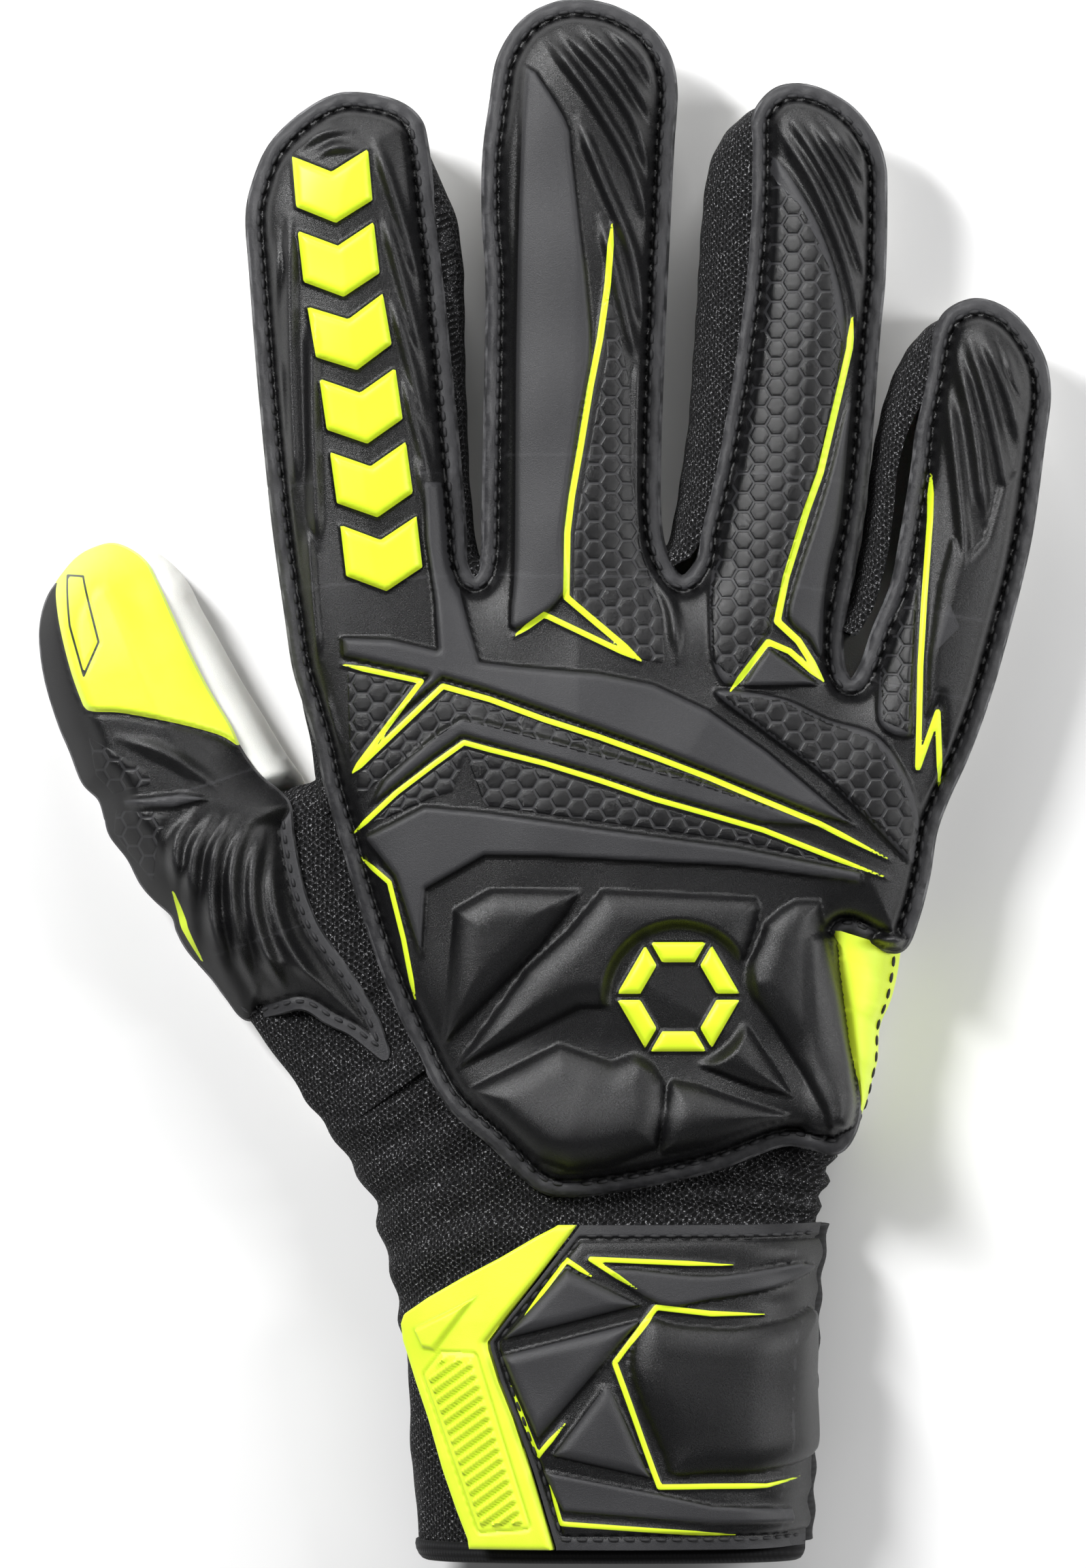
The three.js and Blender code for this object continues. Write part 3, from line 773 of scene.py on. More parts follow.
RING_RELIEF = [
    ridge(2.8, 1.7, (43.4, 138), (49.7, 127.5), (54.8, 115.5), (57.4, 105.6), (58.4, 97.6)),
    ridge(2.8, 1.7, (45.4, 140.2), (52.7, 127.9), (57.8, 115.5), (59.1, 109)),
    ridge(2.6, 1.6, (48.6, 140.4), (55.2, 130.5), (59.7, 119.3)),
    ridge(2.6, 1.5, (51.2, 140.6), (57.4, 131.8), (59.5, 126.2)),
    ridge(2.4, 1.4, (55.4, 139.4), (58.2, 133.9), (59.7, 127.9)),
    pad([(41.5, 134), (41.4, 126), (41.1, 115.5), (39.6, 101), (36.4, 81.3), (33.2, 67.1), (30.4, 57),
         (30, 48), (30.8, 40), (34.3, 36.4), (40.8, 45.4), (42, 50), (46.5, 64), (51.4, 80), (54.4, 94),
         (55.2, 104), (52.6, 115), (47.6, 126)], 1.2, 1.6),
    hexes([(41.5, 130), (40.6, 108), (36.4, 81.3), (32.2, 64), (30.6, 52), (31, 41), (34.5, 37.6),
           (41, 46.5), (46, 63), (51, 80.5), (54.6, 98), (52, 113), (47, 124)]),
    neon(1.25, (56.4, 104), (55.9, 98.3), (54.4, 91.8), (52.3, 83), (50.5, 75.4), (48, 68.5),
         (44.2, 56.2), (42.6, 48.2), (46.5, 44.6), (51.2, 37.2)),
    neon(1.1, (51.2, 37.2), (44.9, 42.7), (40.9, 44.4), (34, 35.4), taper=(3, 3)),
    pad([(56.5, 90), (55.9, 82), (54.5, 67), (52.6, 59), (51.5, 51.5), (51, 41.5), (48.4, 45), (44.6, 49),
         (46.4, 57), (50, 68), (52.6, 77), (54.8, 86)], 1.4),
    plate([(41, 43.4), (50.6, 36.4), (36, 36.2)], 1.3, 0.7),
]

LITTLE_RELIEF = [
    ridge(2.6, 1.6, (73.7, 90.5), (75.5, 75.6), (76.7, 62), (76.4, 54)),
    ridge(2.8, 1.7, (75.5, 97.6), (78.5, 83.7), (80.9, 66)),
    ridge(2.8, 1.7, (77.7, 100), (81.9, 85.7), (85.4, 68.7)),
    ridge(2.6, 1.6, (80.3, 101.2), (85.2, 88.9), (87.2, 80)),
    ridge(2.4, 1.4, (83.5, 99.8), (87.6, 87.7)),
    pad([(71, 92), (69.6, 83), (66.5, 62), (62.6, 46), (61, 36), (61.4, 29), (66.8, 27), (67.4, 34),
         (68, 48), (69, 60), (70, 72), (71.8, 84)], 1.4),
    hexes([(70.6, 86), (67.6, 68), (63.4, 50), (61.8, 38), (62, 30), (66.6, 28), (67.3, 40), (68.4, 56),
           (70.2, 74)]),
    neon(1.05, (71, 75.5), (70.7, 67), (69.5, 51.5), (68.8, 40), (68.4, 21.4), (72, 31.6), (72.6, 17.5)),
    pillow([(87, 76), (84.6, 58), (80.4, 43), (77, 29), (73.4, 17), (73.3, 26), (72.6, 34.4), (69.9, 30),
            (70.3, 42), (72.2, 55), (74.6, 64), (77.4, 60), (80.4, 63), (83.6, 74)], 1.4, 2.2),
    plate([(70.6, 41.4), (73.9, 52.6), (76.3, 47)], 0.8, 0.7),
]


def hexagon_ring(centre, radius, width):
    """A plain raised neon ring of six bars on the lower hand."""

    def corner(sixths, r):
        angle = sixths * math.pi / 3
        return np.array(centre) + r * np.array([math.cos(angle), math.sin(angle)])

    inner = radius - width
    bars = []
    for k in range(6):
        outside = [corner(k + 0.05, radius), corner(k + 0.95, radius)]
        bars.append(block([*outside, corner(k + 0.92, inner), corner(k + 0.08, inner)], 1.2))
    return bars


HAND_RELIEF = [
    # neon lines
    neon(0.95, (-37, 40.3), (-22.5, 37.2), (-35.2, 20.4), taper=(4, 2)),
    neon(1.0, (-35.2, 20.4), (-18.6, 36.3), (-10, 33.9), (0, 30.2), (10, 27), (20, 23.4), (30, 19.6),
         (40, 15.4), (50.2, 11.2), (63.3, 4.5), taper=(2, 10)),
    neon(0.95, (-35, 9.4), (-27.1, 16.8), (-20, 22.2), (-14.7, 26), (-10, 24.7), (0, 22.2), (10, 19.1),
         (20, 15.7), (30, 12.9), (40, 10), (52.7, 5), (62.8, 1.2), taper=(3, 10)),
    neon(0.9, (-33.8, 5), (-28.4, 0.4), (-25.8, -10), (-23.6, -21.6), taper=(3, 4)),
    # the support bar over the knuckles and the bands under it
    plate([(-37.2, 45.4), (-28, 45), (-19.6, 43), (-20.2, 52), (-21.8, 63), (-22.2, 74), (-18.6, 74),
           (-16.6, 60), (-14.8, 52), (-13.2, 46), (-11.7, 40.9), (-5, 40.1), (10, 38.8), (20, 36.8),
           (30, 32.1), (40.9, 24.4), (50, 16.7), (57.2, 10.6), (50.4, 12.6), (40, 16.8), (20, 24.8),
           (10, 28.4), (-10, 35.3), (-18.6, 37.8), (-25, 32.6), (-31.4, 27), (-21.2, 38.2),
           (-36.9, 41.7)], 1.8, 1.3),
    plate([(-19, 28.6), (-15, 30.8), (-10, 29.9), (10, 24.5), (30, 18.8), (52, 10.4), (40, 11.2),
           (20, 16.9), (10, 20.3), (-10, 25.9), (-15, 27.2), (-20.4, 23.4), (-28, 17.4), (-32, 14.4),
           (-29.4, 19.2)], 1.3),
    hexes([(-17.6, 35.2), (-10, 32.8), (10, 25.9), (30, 18.6), (44, 13), (30, 17.6), (10, 23.4),
           (-10, 28.9), (-15.3, 30), (-28.1, 21.1), (-34.4, 15.2), (-34.2, 20)]),
    hexes([(-36, 39), (-24.4, 36.6), (-35.6, 22.2)]),
    hexes([(-32, 10.9), (-20.4, 16), (-16.8, 17), (-14.3, 24), (-10.9, 14.5), (10, 11.6), (35, 8.1),
           (55, 3.4), (40, 8.8), (20, 14.4), (0, 20.8), (-14.7, 24.8), (-27.1, 15.4)]),
    # the frame under the bands
    plate([(-33.2, 8.6), (-22, 14.4), (-10.9, 13.4), (10, 10.4), (35, 7), (58, 2.4), (58, 0.2), (35, 3.2),
           (0, 5), (-10.9, 5.2), (-21.6, -0.9), (-22.4, -14), (-24.4, -8), (-27.4, 1.4)], 1.6),
    # the hexagon knuckle pad between the little and ring fingers
    pad([(31, 35.4), (43, 34.4), (52, 30.4), (60.9, 27.4), (66.6, 19.5), (69.2, 9.4), (67.6, 3.6),
         (58.2, 12.6), (49.7, 20.6), (40, 27.9)], 1.5),
    hexes([(32.6, 34.8), (43, 33.6), (52, 29.4), (60.4, 26.4), (65.6, 19), (68.2, 9.6), (66.8, 5.4),
           (58.2, 13.6), (49.7, 21.6), (40, 28.9)]),
    # fist pads
    pillow([(-16.4, -4.6), (-9.6, -0.8), (6.4, -1.2), (4.2, -5), (-0.6, -11), (-18.6, -29.6),
            (-17.6, -20)]),
    pillow([(10.6, -1), (38.6, -2.4), (39.4, -4.4), (37.6, -10.4), (35.4, -16.4), (25, -18.4),
            (21, -21.6), (13.6, -22.6), (6.6, -22.6), (-16.6, -34), (-3.4, -15.6), (4, -8.8)]),
    pillow([(-13.6, -37.4), (2.8, -29.2), (12.4, -32.6), (18.6, -30), (21.8, -36), (22, -41.6), (20.4, -48),
            (12, -51.4), (4.6, -52.2), (-1.4, -50.2), (-12.4, -39.8)]),
    pillow([(46, -3), (50.4, -3), (51.6, -9.4), (53.4, -17), (55.4, -24.8), (57.2, -32.4), (57.9, -38),
            (57.6, -42), (55.6, -45.4), (52, -44.6), (51, -41), (48, -35.6), (44.1, -29.2), (40.3, -23.5),
            (36.3, -18.4), (37.6, -14), (39.2, -10.7), (40.5, -7), (43.2, -4.6)]),
    pillow([(26, -19.4), (31.6, -18.8), (35.7, -23.9), (39, -28.7), (43.7, -35.7), (45.4, -38.9),
            (39.1, -37.3), (29.6, -33.6), (23.8, -31.6), (24.6, -26.1)]),
    pillow([(23.2, -35.7), (28.2, -36.7), (36, -39.4), (45.4, -42.4), (39.2, -44.2), (29.6, -47.6),
            (21.4, -49.2), (21.6, -42), (22.8, -36.6)]),
    well((24.5, -20.5), 12.2),
    *hexagon_ring((24.5, -20.5), 11.2, 4.2),
    # side accents of ridges along the little finger's side of the hand
    ridge(2.6, 1.4, (79.6, 40), (76.6, 29.6), (72, 18.4), (70.2, 8)),
    ridge(2.2, 1.2, (-40.6, 36), (-39.4, 30), (-37.4, 24)),
]

ALL_RELIEF = INDEX_RELIEF + MIDDLE_RELIEF + RING_RELIEF + LITTLE_RELIEF + HAND_RELIEF


def relief(plan, features):
    """Height to add over the plain form, and the numbers that the moulded skin's material reads."""
    count = len(plan)
    raised, ridges, blocks, lines = (np.zeros(count) for _ in range(4))
    pad_depth, neon_depth, hex_depth = (np.full(count, -9.0) for _ in range(3))
    for f in features:
        if f["kind"] == "ridge":
            half = f["width"] / 2
            d = distance(plan, f["path"], reach=half + 3)
            ends = np.minimum(*(np.hypot(*(plan - f["path"][i]).T) for i in (0, -1)))
            fade = ease(ends / (4.5 * half))
            thin = half * (0.45 + 0.55 * fade) + 0.5
            ridges = np.maximum(ridges, f["height"] * (0.15 + 0.85 * fade) * ease(1 - d / thin))
        elif f["kind"] == "pad":
            d = depth_in(plan, f["outline"], reach=4)
            raised = np.maximum(raised, f["height"] * dome(d / f["bevel"]) * (d > 0))
            if f["satin"]:
                pad_depth = np.maximum(pad_depth, d - 0.3)
        elif f["kind"] == "well":
            away = np.hypot(*(plan - f["centre"]).T) - f["radius"]
            raised = raised * ease(away / 2.4)
        elif f["kind"] == "hex":
            hex_depth = np.maximum(hex_depth, depth_in(plan, f["outline"], reach=3))
        elif f["kind"] == "block":
            d = depth_in(plan, f["outline"], reach=3)
            blocks = np.maximum(blocks, f["height"] * (0.25 + 0.75 * dome(d / 1.5)) * ease(d / 0.3 + 1))
            neon_depth = np.maximum(neon_depth, d)
        else:
            path, width = f["path"], f["width"]
            d = distance(plan, path, reach=3)
            start, end = (np.hypot(*(plan - path[i]).T) for i in (0, -1))
            thin = np.minimum(np.clip(start / f["taper"][0], 0, 1), np.clip(end / f["taper"][1], 0, 1))
            half = width / 2 * (0.25 + 0.75 * thin)
            lines = np.maximum(lines, 0.4 * ease((half + 0.35 - d) / 0.5))
            neon_depth = np.maximum(neon_depth, half - d)
    height = np.maximum(raised, ridges) + blocks
    height = np.maximum(height, lines + height * 0.6 * (lines > 0.02))
    return height, {"pad": np.where(hex_depth > 0, -1.0, pad_depth), "neon": neon_depth, "hex": hex_depth}


def hexagon_depth(plan, size):
    """The same pattern as the material's hexagons: 0 on a cell's edge, 0.5 in its middle."""
    cell = np.array([HEX_WIDTH, 1.0])
    nearest = np.full(len(plan), 9.0)
    for shift in (0, cell / 2):
        v = np.abs(np.mod(plan / size + HEX_CELLS * cell + shift, cell) - cell / 2)
        nearest = np.minimum(nearest, np.maximum(v @ [HEX_WIDTH / 2, 0.5], v[:, 1]))
    return 0.5 - nearest


def hexagon_relief(plan, values):
    """Height of the cells in the areas of moulded hexagons."""
    return 0.16 * ease(hexagon_depth(plan, HEX_SIZE) / 0.16) * ease(values["hex"] / 0.6)


def back_form(plan, edge_depth, flange, values):
    """Plain form of the moulded back: a flange, a groove, then a crowned pad."""
    crowned = 1.9 * dome((edge_depth - flange) / 1.6) + 4.6 * dome((edge_depth - flange) / 13)
    hand = 2.2 * ease((edge_depth - 12) / 30)
    groove = -0.5 * ease(1 - np.abs(edge_depth - flange + 0.35) / 0.8)
    droop = -0.7 * (1 - dome(edge_depth / 1.1))
    return EDGE_Z + crowned + hand + groove + droop + hexagon_relief(plan, values)


# ---- Moulded skins --------------------------------------------------------------------------------


class Edge:
    """A closed path that answers how deep points lie inside it, by the nearest of finely spaced points."""

    def __init__(self, path, fine):
        self.path = path
        self.tree = KDTree(len(fine))
        for i, (x, y) in enumerate(fine):
            self.tree.insert((x, y, 0), i)
        self.tree.balance()

    @classmethod
    def through(cls, points):
        """The smooth outline through a few points."""
        return cls(smooth(points, 0.5, closed=True), smooth(points, 0.12, closed=True))

    @classmethod
    def along(cls, path):
        """The outline along a path that is smooth already."""
        steps = np.roll(path, -1, axis=0) - path
        return cls(path, np.vstack([path + steps * t for t in (0, 0.2, 0.4, 0.6, 0.8)]))

    def depth(self, plan):
        near = np.array([self.tree.find((x, y, 0))[2] for x, y in plan])
        return np.where(inside(plan, self.path), near, -near)


def line_across(digit, along, edge):
    """The cut across a digit at a distance along it, from edge to edge."""
    points = np.array([digit.place(along, w) for w in np.arange(-26, 26, 0.5)])
    within = inside(points, edge.path)
    first = last = len(points) // 2
    while first > 0 and within[first - 1]:
        first -= 1
    while last < len(points) - 1 and within[last + 1]:
        last += 1
    return points[first : last + 1]


def region_of(plan):
    """Which piece each point belongs to: 0 the hand, then two for each finger."""
    score = np.full(len(plan), 1e9)
    region = np.zeros(len(plan), int)
    for i, digit in enumerate(FINGERS):
        along, across = digit.local(plan)
        outside = np.maximum(np.maximum(-digit.left - across, across - digit.right), 0)
        closer = outside < score
        score[closer] = outside[closer]
        part = np.where(along > digit.middle, 2 * i + 2, np.where(along > digit.start, 2 * i + 1, 0))
        region[closer] = part[closer]
    return region


def thumb_region_of(plan):
    """0 the hand, 1 the thumb's base, 2 its tip and 3 the cap on the tip."""
    along, _ = THUMB.local(plan)
    region = np.where(along > THUMB.middle, 2, np.where(along > THUMB.start, 1, 0))
    region[depth_in(plan, CAP) > 0] = 3
    return region


def piece_follows(piece, region, digits):
    """Makes a piece of region 0 ride with the hand, and bakes the transform of a digit's base or tip.
    Regions are 0 the hand, then a base and a tip for each digit.
    """
    if region:
        follow(piece, digits[(region - 1) // 2], "tip" if region % 2 == 0 else "base")
    else:
        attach(piece, "hand")


BACK = Edge.through(BACK_EDGE)


def beside_accent(plan):
    """1 along the side accent, where the moulding has no sewn flange, and 0 elsewhere."""
    x, y = plan.T
    return ease((x - 47) / 3) * ease((-8.5 - y) / 2) * ease((y + 46.5) / 2.5)


def back_surface(plan):
    """Top and underside of the moulded back at points in the plane, and its material's numbers."""
    depth = BACK.depth(plan)
    raised, values = relief(plan, ALL_RELIEF)
    flange = FLANGE - 2.4 * beside_accent(plan)
    raised = raised * ease((depth - flange + 0.4) / 1.2)
    for key in ("pad", "hex"):
        values[key] = np.where(depth < flange, -9.0, values[key])
    values["pad"] = np.maximum(values["pad"], flange - 0.9 - depth)
    x, y = plan.T
    wrist_lift = 3.4 * ease((-28 - y) / 20)
    form = back_form(plan, depth, flange, values) + wrist_lift
    wrinkle = 0.12 * wave_noise(x, y, 5, 3) * ease((FLANGE - depth) / 1.5)
    uneven = 0.16 * wave_noise(x, y, 26, 5)
    return form + raised + wrinkle + uneven, form - SKIN_THICKNESS + uneven, values


BACK_PIECES = ["backhand"] + [f"{d.name}_{part}back" for d in FINGERS for part in ("", "tip_")]


def cad_back_node(region):
    """The part's node that a piece of the moulded back stands for."""
    if region == 0:
        return "backhand_panel"
    digit = FINGERS[(region - 1) // 2].name
    return f"{digit}_back_panel" if region % 2 else f"{digit}_tip_back_panel"


def build_back():
    """The moulded back of the hand and fingers, one skin cut where the finger joints blend."""
    cuts = [line_across(d, u, BACK) for d in FINGERS for u in (d.start, d.middle)]
    plan, faces = triangulate(BACK.path, FINE, cuts)
    shell = Shell(plan, faces, *back_surface(plan))
    regions = region_of(shell.centres())
    for region, name in enumerate(BACK_PIECES):
        piece = shell.piece(name, regions == region, [SKIN, RAW_EDGE], spread=0.55)
        piece_follows(piece, region, FINGERS)
        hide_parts(cad_back_node(region))


# ---- The thumb's back -----------------------------------------------------------------------------

THUMB_EDGE = [
    (-58.8, -21), (-61.3, -17.7), (-65.8, -12.5), (-67.8, -9), (-68.8, -6), (-72, -3), (-74.6, 0),
    (-77, 4.6), (-80.2, 8.8), (-81.2, 12), (-82.4, 15.6), (-85.4, 18.8), (-87.7, 24.6), (-89.8, 29.6),
    (-92.3, 37.9), (-93.3, 45.8), (-92.6, 51.5), (-90.4, 55.8), (-86.4, 60.4), (-81.5, 62.5), (-78, 62.2),
    (-74, 59.6), (-71.5, 55.4), (-66.9, 45.4), (-62.3, 36.2), (-58.1, 29.2), (-56, 24.7), (-52.6, 20),
    (-48.8, 16.8), (-46.9, 14.2), (-46.2, 8.3), (-44.6, 0), (-42.9, -5), (-40.8, -9.2), (-35, -17.5),
    (-31, -24.2), (-28.6, -31), (-29.6, -32.4), (-32.1, -30.6), (-35.8, -27.7), (-40, -25.6),
    (-44.6, -23), (-50, -24.2), (-55.2, -25),
]
CAP_EDGE = [
    (-88.8, 58.6), (-90.4, 55.4), (-89.6, 50), (-88.2, 44), (-86.6, 38.4), (-85, 34), (-84.2, 32.4),
    (-82.8, 31.7), (-78.1, 31.5), (-72.7, 30.6), (-66.9, 29.4), (-61.9, 28.1), (-58.8, 27), (-55.8, 25),
]

THUMB_RELIEF = [
    ridge(3.4, 1.2, (-77.7, 26.8), (-70.5, 24.4), (-64, 20.8), (-59.4, 17.6)),
    hexes([(-83.6, 27), (-72.4, 20.6), (-72, 18.4), (-79.2, 16.6), (-82.4, 20)]),
    plate([(-77.6, 15.6), (-66, 16.8), (-60.8, 15.8), (-68, 13.9), (-76.6, 14.2)], 1.2, 0.7),
    hexes([(-78.8, 13.6), (-68.4, 12.9), (-70.6, 9), (-71.6, 3), (-71.8, 0.2), (-76.4, 5.4), (-79.4, 9.4)]),
    ridge(3.2, 1.9, (-64, 13.2), (-67.2, 8.2), (-67.6, 2), (-67.4, -2.6)),
    ridge(3.6, 2.2, (-60.6, 12.2), (-64, 6.4), (-65, -1.6), (-64.8, -10), (-63.4, -16)),
    ridge(3.6, 2.3, (-57.4, 12), (-60.4, 5.4), (-61, -3.4), (-60, -12), (-58.2, -19)),
    ridge(3.4, 2.2, (-54.4, 11), (-56.8, 4.6), (-57.2, -4.4), (-55.6, -13), (-53, -20.4)),
    ridge(3.2, 2.0, (-51.6, 9.6), (-53.2, 3.4), (-53.2, -4.8), (-50.9, -13), (-47.6, -19.6)),
    ridge(3.0, 1.7, (-49.4, 6), (-49.8, -1), (-48.2, -8.4), (-44.8, -14.6), (-40.4, -19.4)),
    neon(1.6, (-68.2, -1.4), (-66.2, -8.2), (-63.2, -14.2), taper=(6, 8)),
]


def thumb_surface(plan):
    """Top and underside of the thumb's back at points in the plane, and its materials' numbers."""
    edge_depth = THUMB_OUTLINE.depth(plan)
    along, across = THUMB.local(plan)
    raised, values = relief(plan, THUMB_RELIEF)
    flat = ease((across + 4) / 4) * ease((15 - plan[:, 1]) / 5)
    flange = 2.6 * flat
    edge_z = 13.5 + 10 * ease((across + 9) / 17) - 5 * ease((along - 48) / 16)
    rise = 30.5 - edge_z - 3 * ease((-8 - along) / 22)
    rise = rise - 2.6 * ease((along - 40) / 22)
    form = edge_z + rise * crown((edge_depth - flange) / (9 + 4 * ease((across + 4) / 8)))
    form = form - 0.5 * flat * ease(1 - np.abs(edge_depth - flange + 0.3) / 0.8)
    form = form + hexagon_relief(plan, values)
    cap_depth = depth_in(plan, CAP)
    step = 0.9 * ease(cap_depth / 0.8) - 0.5 * ease(1 - np.abs(cap_depth + 0.4) / 0.6)
    raised = raised * ease((edge_depth - flange - 0.4) / 1.4) * ease(1 - cap_depth)
    values["pad"] = np.maximum(values["pad"], flange - 0.5 - edge_depth)
    tag = distance(plan, TAG, reach=2)
    inner_tag = ease(1 - tag / 0.5)
    values["mark"] = 0.30 - tag
    values["matt"] = ease((8 - edge_depth) / 4) * ease(-across / 4)
    form = form + step - 0.25 * inner_tag
    return form + raised, form - SKIN_THICKNESS, values


THUMB_OUTLINE = Edge.through(THUMB_EDGE)
CAP_BORDER = smooth(CAP_EDGE, 0.5)
CAP = np.vstack([CAP_BORDER, [(-50, 30), (-60, 70), (-100, 70)]])
# A plain five-sided label patch on the cap.
TAG = np.array([(-88.2, 57), (-84.8, 56.6), (-81.6, 44.4), (-84.3, 38.2), (-87, 47.4), (-88.2, 57)])


THUMB_PIECES = [
    ("thumb_root", "thumb_root_panel"),
    ("thumb_back", "thumb_back_panel"),
    ("thumb_tip_back", None),
    ("thumb_cap_skin", "thumb_cap"),
]


def build_thumb_back():
    """The thumb's moulded back, and the neon cap on its tip."""
    cuts = [line_across(THUMB, u, THUMB_OUTLINE) for u in (THUMB.start, THUMB.middle)]
    cuts.append(CAP_BORDER[inside(CAP_BORDER, THUMB_OUTLINE.path)])
    tag_sides = [np.linspace(a, b, 18, endpoint=False) for a, b in zip(TAG, TAG[1:])]
    cuts.append(np.vstack([*tag_sides, TAG[-1:]]))
    plan, faces = triangulate(THUMB_OUTLINE.path, FINE, cuts)
    shell = Shell(plan, faces, *thumb_surface(plan))
    regions = thumb_region_of(shell.centres())
    for region, (name, node) in enumerate(THUMB_PIECES):
        on_cap = name == "thumb_cap_skin"
        materials = [NEON_RUBBER] if on_cap else [SKIN, RAW_EDGE]
        piece = shell.piece(name, regions == region, materials, spread=0.4)
        piece_follows(piece, min(region, 2), [THUMB])
        if node:
            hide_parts(node)


# ---- Body of the glove: side gussets and palm -----------------------------------------------------

GUSSET_THICKNESS = 1.4
SMALLEST_SHEET = 0.0101  # metres; a gusset smaller than this is listed as a scrap, not a sheet

# Silhouette of the glove's body halfway up, clockwise from the wrist, in stretches. Each stretch is one
# gusset: its piece, its CAD node, what it follows, and its points. Stretches share their end points.
BODY = [
    ("thumb_side_wall", "thumb_side_gusset", None, None,
     [(-39, -46.5), (-45.8, -37.1), (-50.8, -30.4), (-54.8, -25), (-58.4, -20.4), (-62.6, -15.4),
      (-66.6, -10), (-67.8, -6)]),
    ("thumb_outer_wall", "thumb_gusset_outer", THUMB, "base",
     [(-71, -3.2), (-73.6, 0), (-76.2, 4.8), (-79.4, 9), (-80.3, 12.4), (-81.4, 13.2)]),
    ("thumb_tip_wall", "thumb_tip_gusset", THUMB, "tip",
     [(-84.4, 19.2), (-86.8, 24.8), (-88.9, 30), (-91.3, 38), (-92.3, 45.8), (-91.6, 51.2), (-89.6, 55.2),
      (-85.8, 59.6), (-81, 61.7), (-76, 61.2), (-71.4, 58.6), (-68, 54.8), (-65.6, 50), (-62.4, 44.4),
      (-58, 36.4), (-54, 30), (-52.2, 26.9)]),
    ("thumb_inner_wall", "thumb_gusset_inner", THUMB, "base",
     [(-49.4, 22.4), (-46.4, 18.4), (-44.2, 17)]),
    ("web_wall", "web_gusset", None, None,
     [(-42.5, 19.6), (-43, 24.8), (-44.6, 32.9), (-46.4, 41.5), (-48.1, 54)]),
    ("index_left_wall", "index_gusset_left", FINGERS[0], "base", [(-49, 62), (-49.5, 71), (-49.9, 76)]),
    ("index_tip_wall", "index_tip_gusset", FINGERS[0], "tip",
     [(-50.6, 84), (-51.4, 96), (-52.6, 112), (-53.2, 122.6), (-51.8, 129.4), (-49, 135), (-44.6, 139.8),
      (-39.4, 143.1), (-34.7, 143.9), (-28, 142.6), (-23.4, 139), (-20.8, 134), (-18.2, 127.8), (-16, 122),
      (-15, 114), (-14.8, 110), (-14.6, 95), (-14.2, 85), (-13.9, 76.3)]),
    ("index_right_wall", "index_gusset_right", FINGERS[0], "base",
     [(-13.2, 68), (-12.5, 62.6), (-11.9, 60.4)]),
    ("middle_left_wall", "middle_gusset_left", FINGERS[1], "base",
     [(-11.3, 62.6), (-11, 70), (-10.8, 78.4)]),
    ("middle_tip_wall", "middle_tip_gusset", FINGERS[1], "tip",
     [(-10.4, 90), (-10.2, 103), (-10.6, 116), (-11.1, 126), (-10.8, 135), (-9.8, 143), (-7.6, 151.4),
      (-3.6, 157.4), (1.6, 160.6), (7, 161.4), (13, 160), (18.6, 156.6), (22, 152), (23.4, 146),
      (22.9, 136), (22.2, 120), (21.5, 104), (21, 90), (20.7, 78.7)]),
    ("middle_right_wall", "middle_gusset_right", FINGERS[1], "base",
     [(20.7, 70), (21.4, 64.6), (22.4, 62.4)]),
    ("ring_left_wall", "ring_gusset_left", FINGERS[2], "base", [(23.3, 64.6), (24.4, 70), (25.4, 76.6)]),
    ("ring_tip_wall", "ring_tip_gusset", FINGERS[2], "tip",
     [(26.6, 85), (27.4, 96), (28.2, 108), (28.9, 120), (30.1, 131), (32.6, 137.4), (36.4, 141.6),
      (41.6, 144.6), (45.8, 145.8), (50.6, 145), (56, 141.8), (59.6, 137.2), (61.4, 132.2), (61.7, 126),
      (61.4, 112), (60.3, 100), (59.2, 86), (58, 73.2)]),
    ("ring_right_wall", "ring_gusset_right", FINGERS[2], "base", [(56.6, 62), (54.9, 52), (54.6, 48.6)]),
    ("little_left_wall", "little_gusset_left", FINGERS[3], "base", [(55.6, 50.6), (56.3, 52.2)]),
    ("little_tip_wall", "little_tip_gusset", FINGERS[3], "tip",
     [(58.2, 61), (59.5, 69.5), (60.4, 77.6), (61.9, 85.7), (64.1, 93), (67, 98.6), (70.6, 102.7),
      (75.2, 105.4), (80, 106.2), (85.6, 103.7), (90.2, 97.2), (91.6, 90.2), (90.6, 80.8), (88.6, 66),
      (86.4, 55.6), (84.2, 48.1)]),
    ("little_right_wall", "little_gusset_right", FINGERS[3], "base", [(81, 37.4), (79.2, 32)]),
    ("outer_side_wall", "outer_side_gusset", None, None,
     [(76.6, 24), (72.9, 15.6), (70.6, 9), (69.2, 1.4), (67, -6.6), (65.2, -12.4)]),
]


class BodyPath:
    """The whole silhouette as one smooth path, and where its stretches meet."""

    def __init__(self):
        corners, starts = [], []
        for stretch in BODY:
            starts.append(max(len(corners) - 1, 0))
            corners.extend(stretch[4])
        starts.append(len(corners) - 1)
        p = np.array([corners[0], *corners, corners[-1]], float)
        curves = [curve_between(*four, 0.9, fewest=2) for four in zip(p[:-3], p[1:-2], p[2:-1], p[3:])]
        self.meets = np.cumsum([0] + [len(curve) for curve in curves])[starts]
        self.path = np.vstack([*curves, p[-1:]])
        tangent = np.gradient(self.path, axis=0)
        blur(tangent, 2)
        tangent /= np.linalg.norm(tangent, axis=1)[:, None]
        self.inward = np.column_stack([tangent[:, 1], -tangent[:, 0]])

    def stretch(self, i):
        """Which of the path's points stretch number i has."""
        return slice(self.meets[i], self.meets[i + 1] + 1)


BODY_PATH = BodyPath()
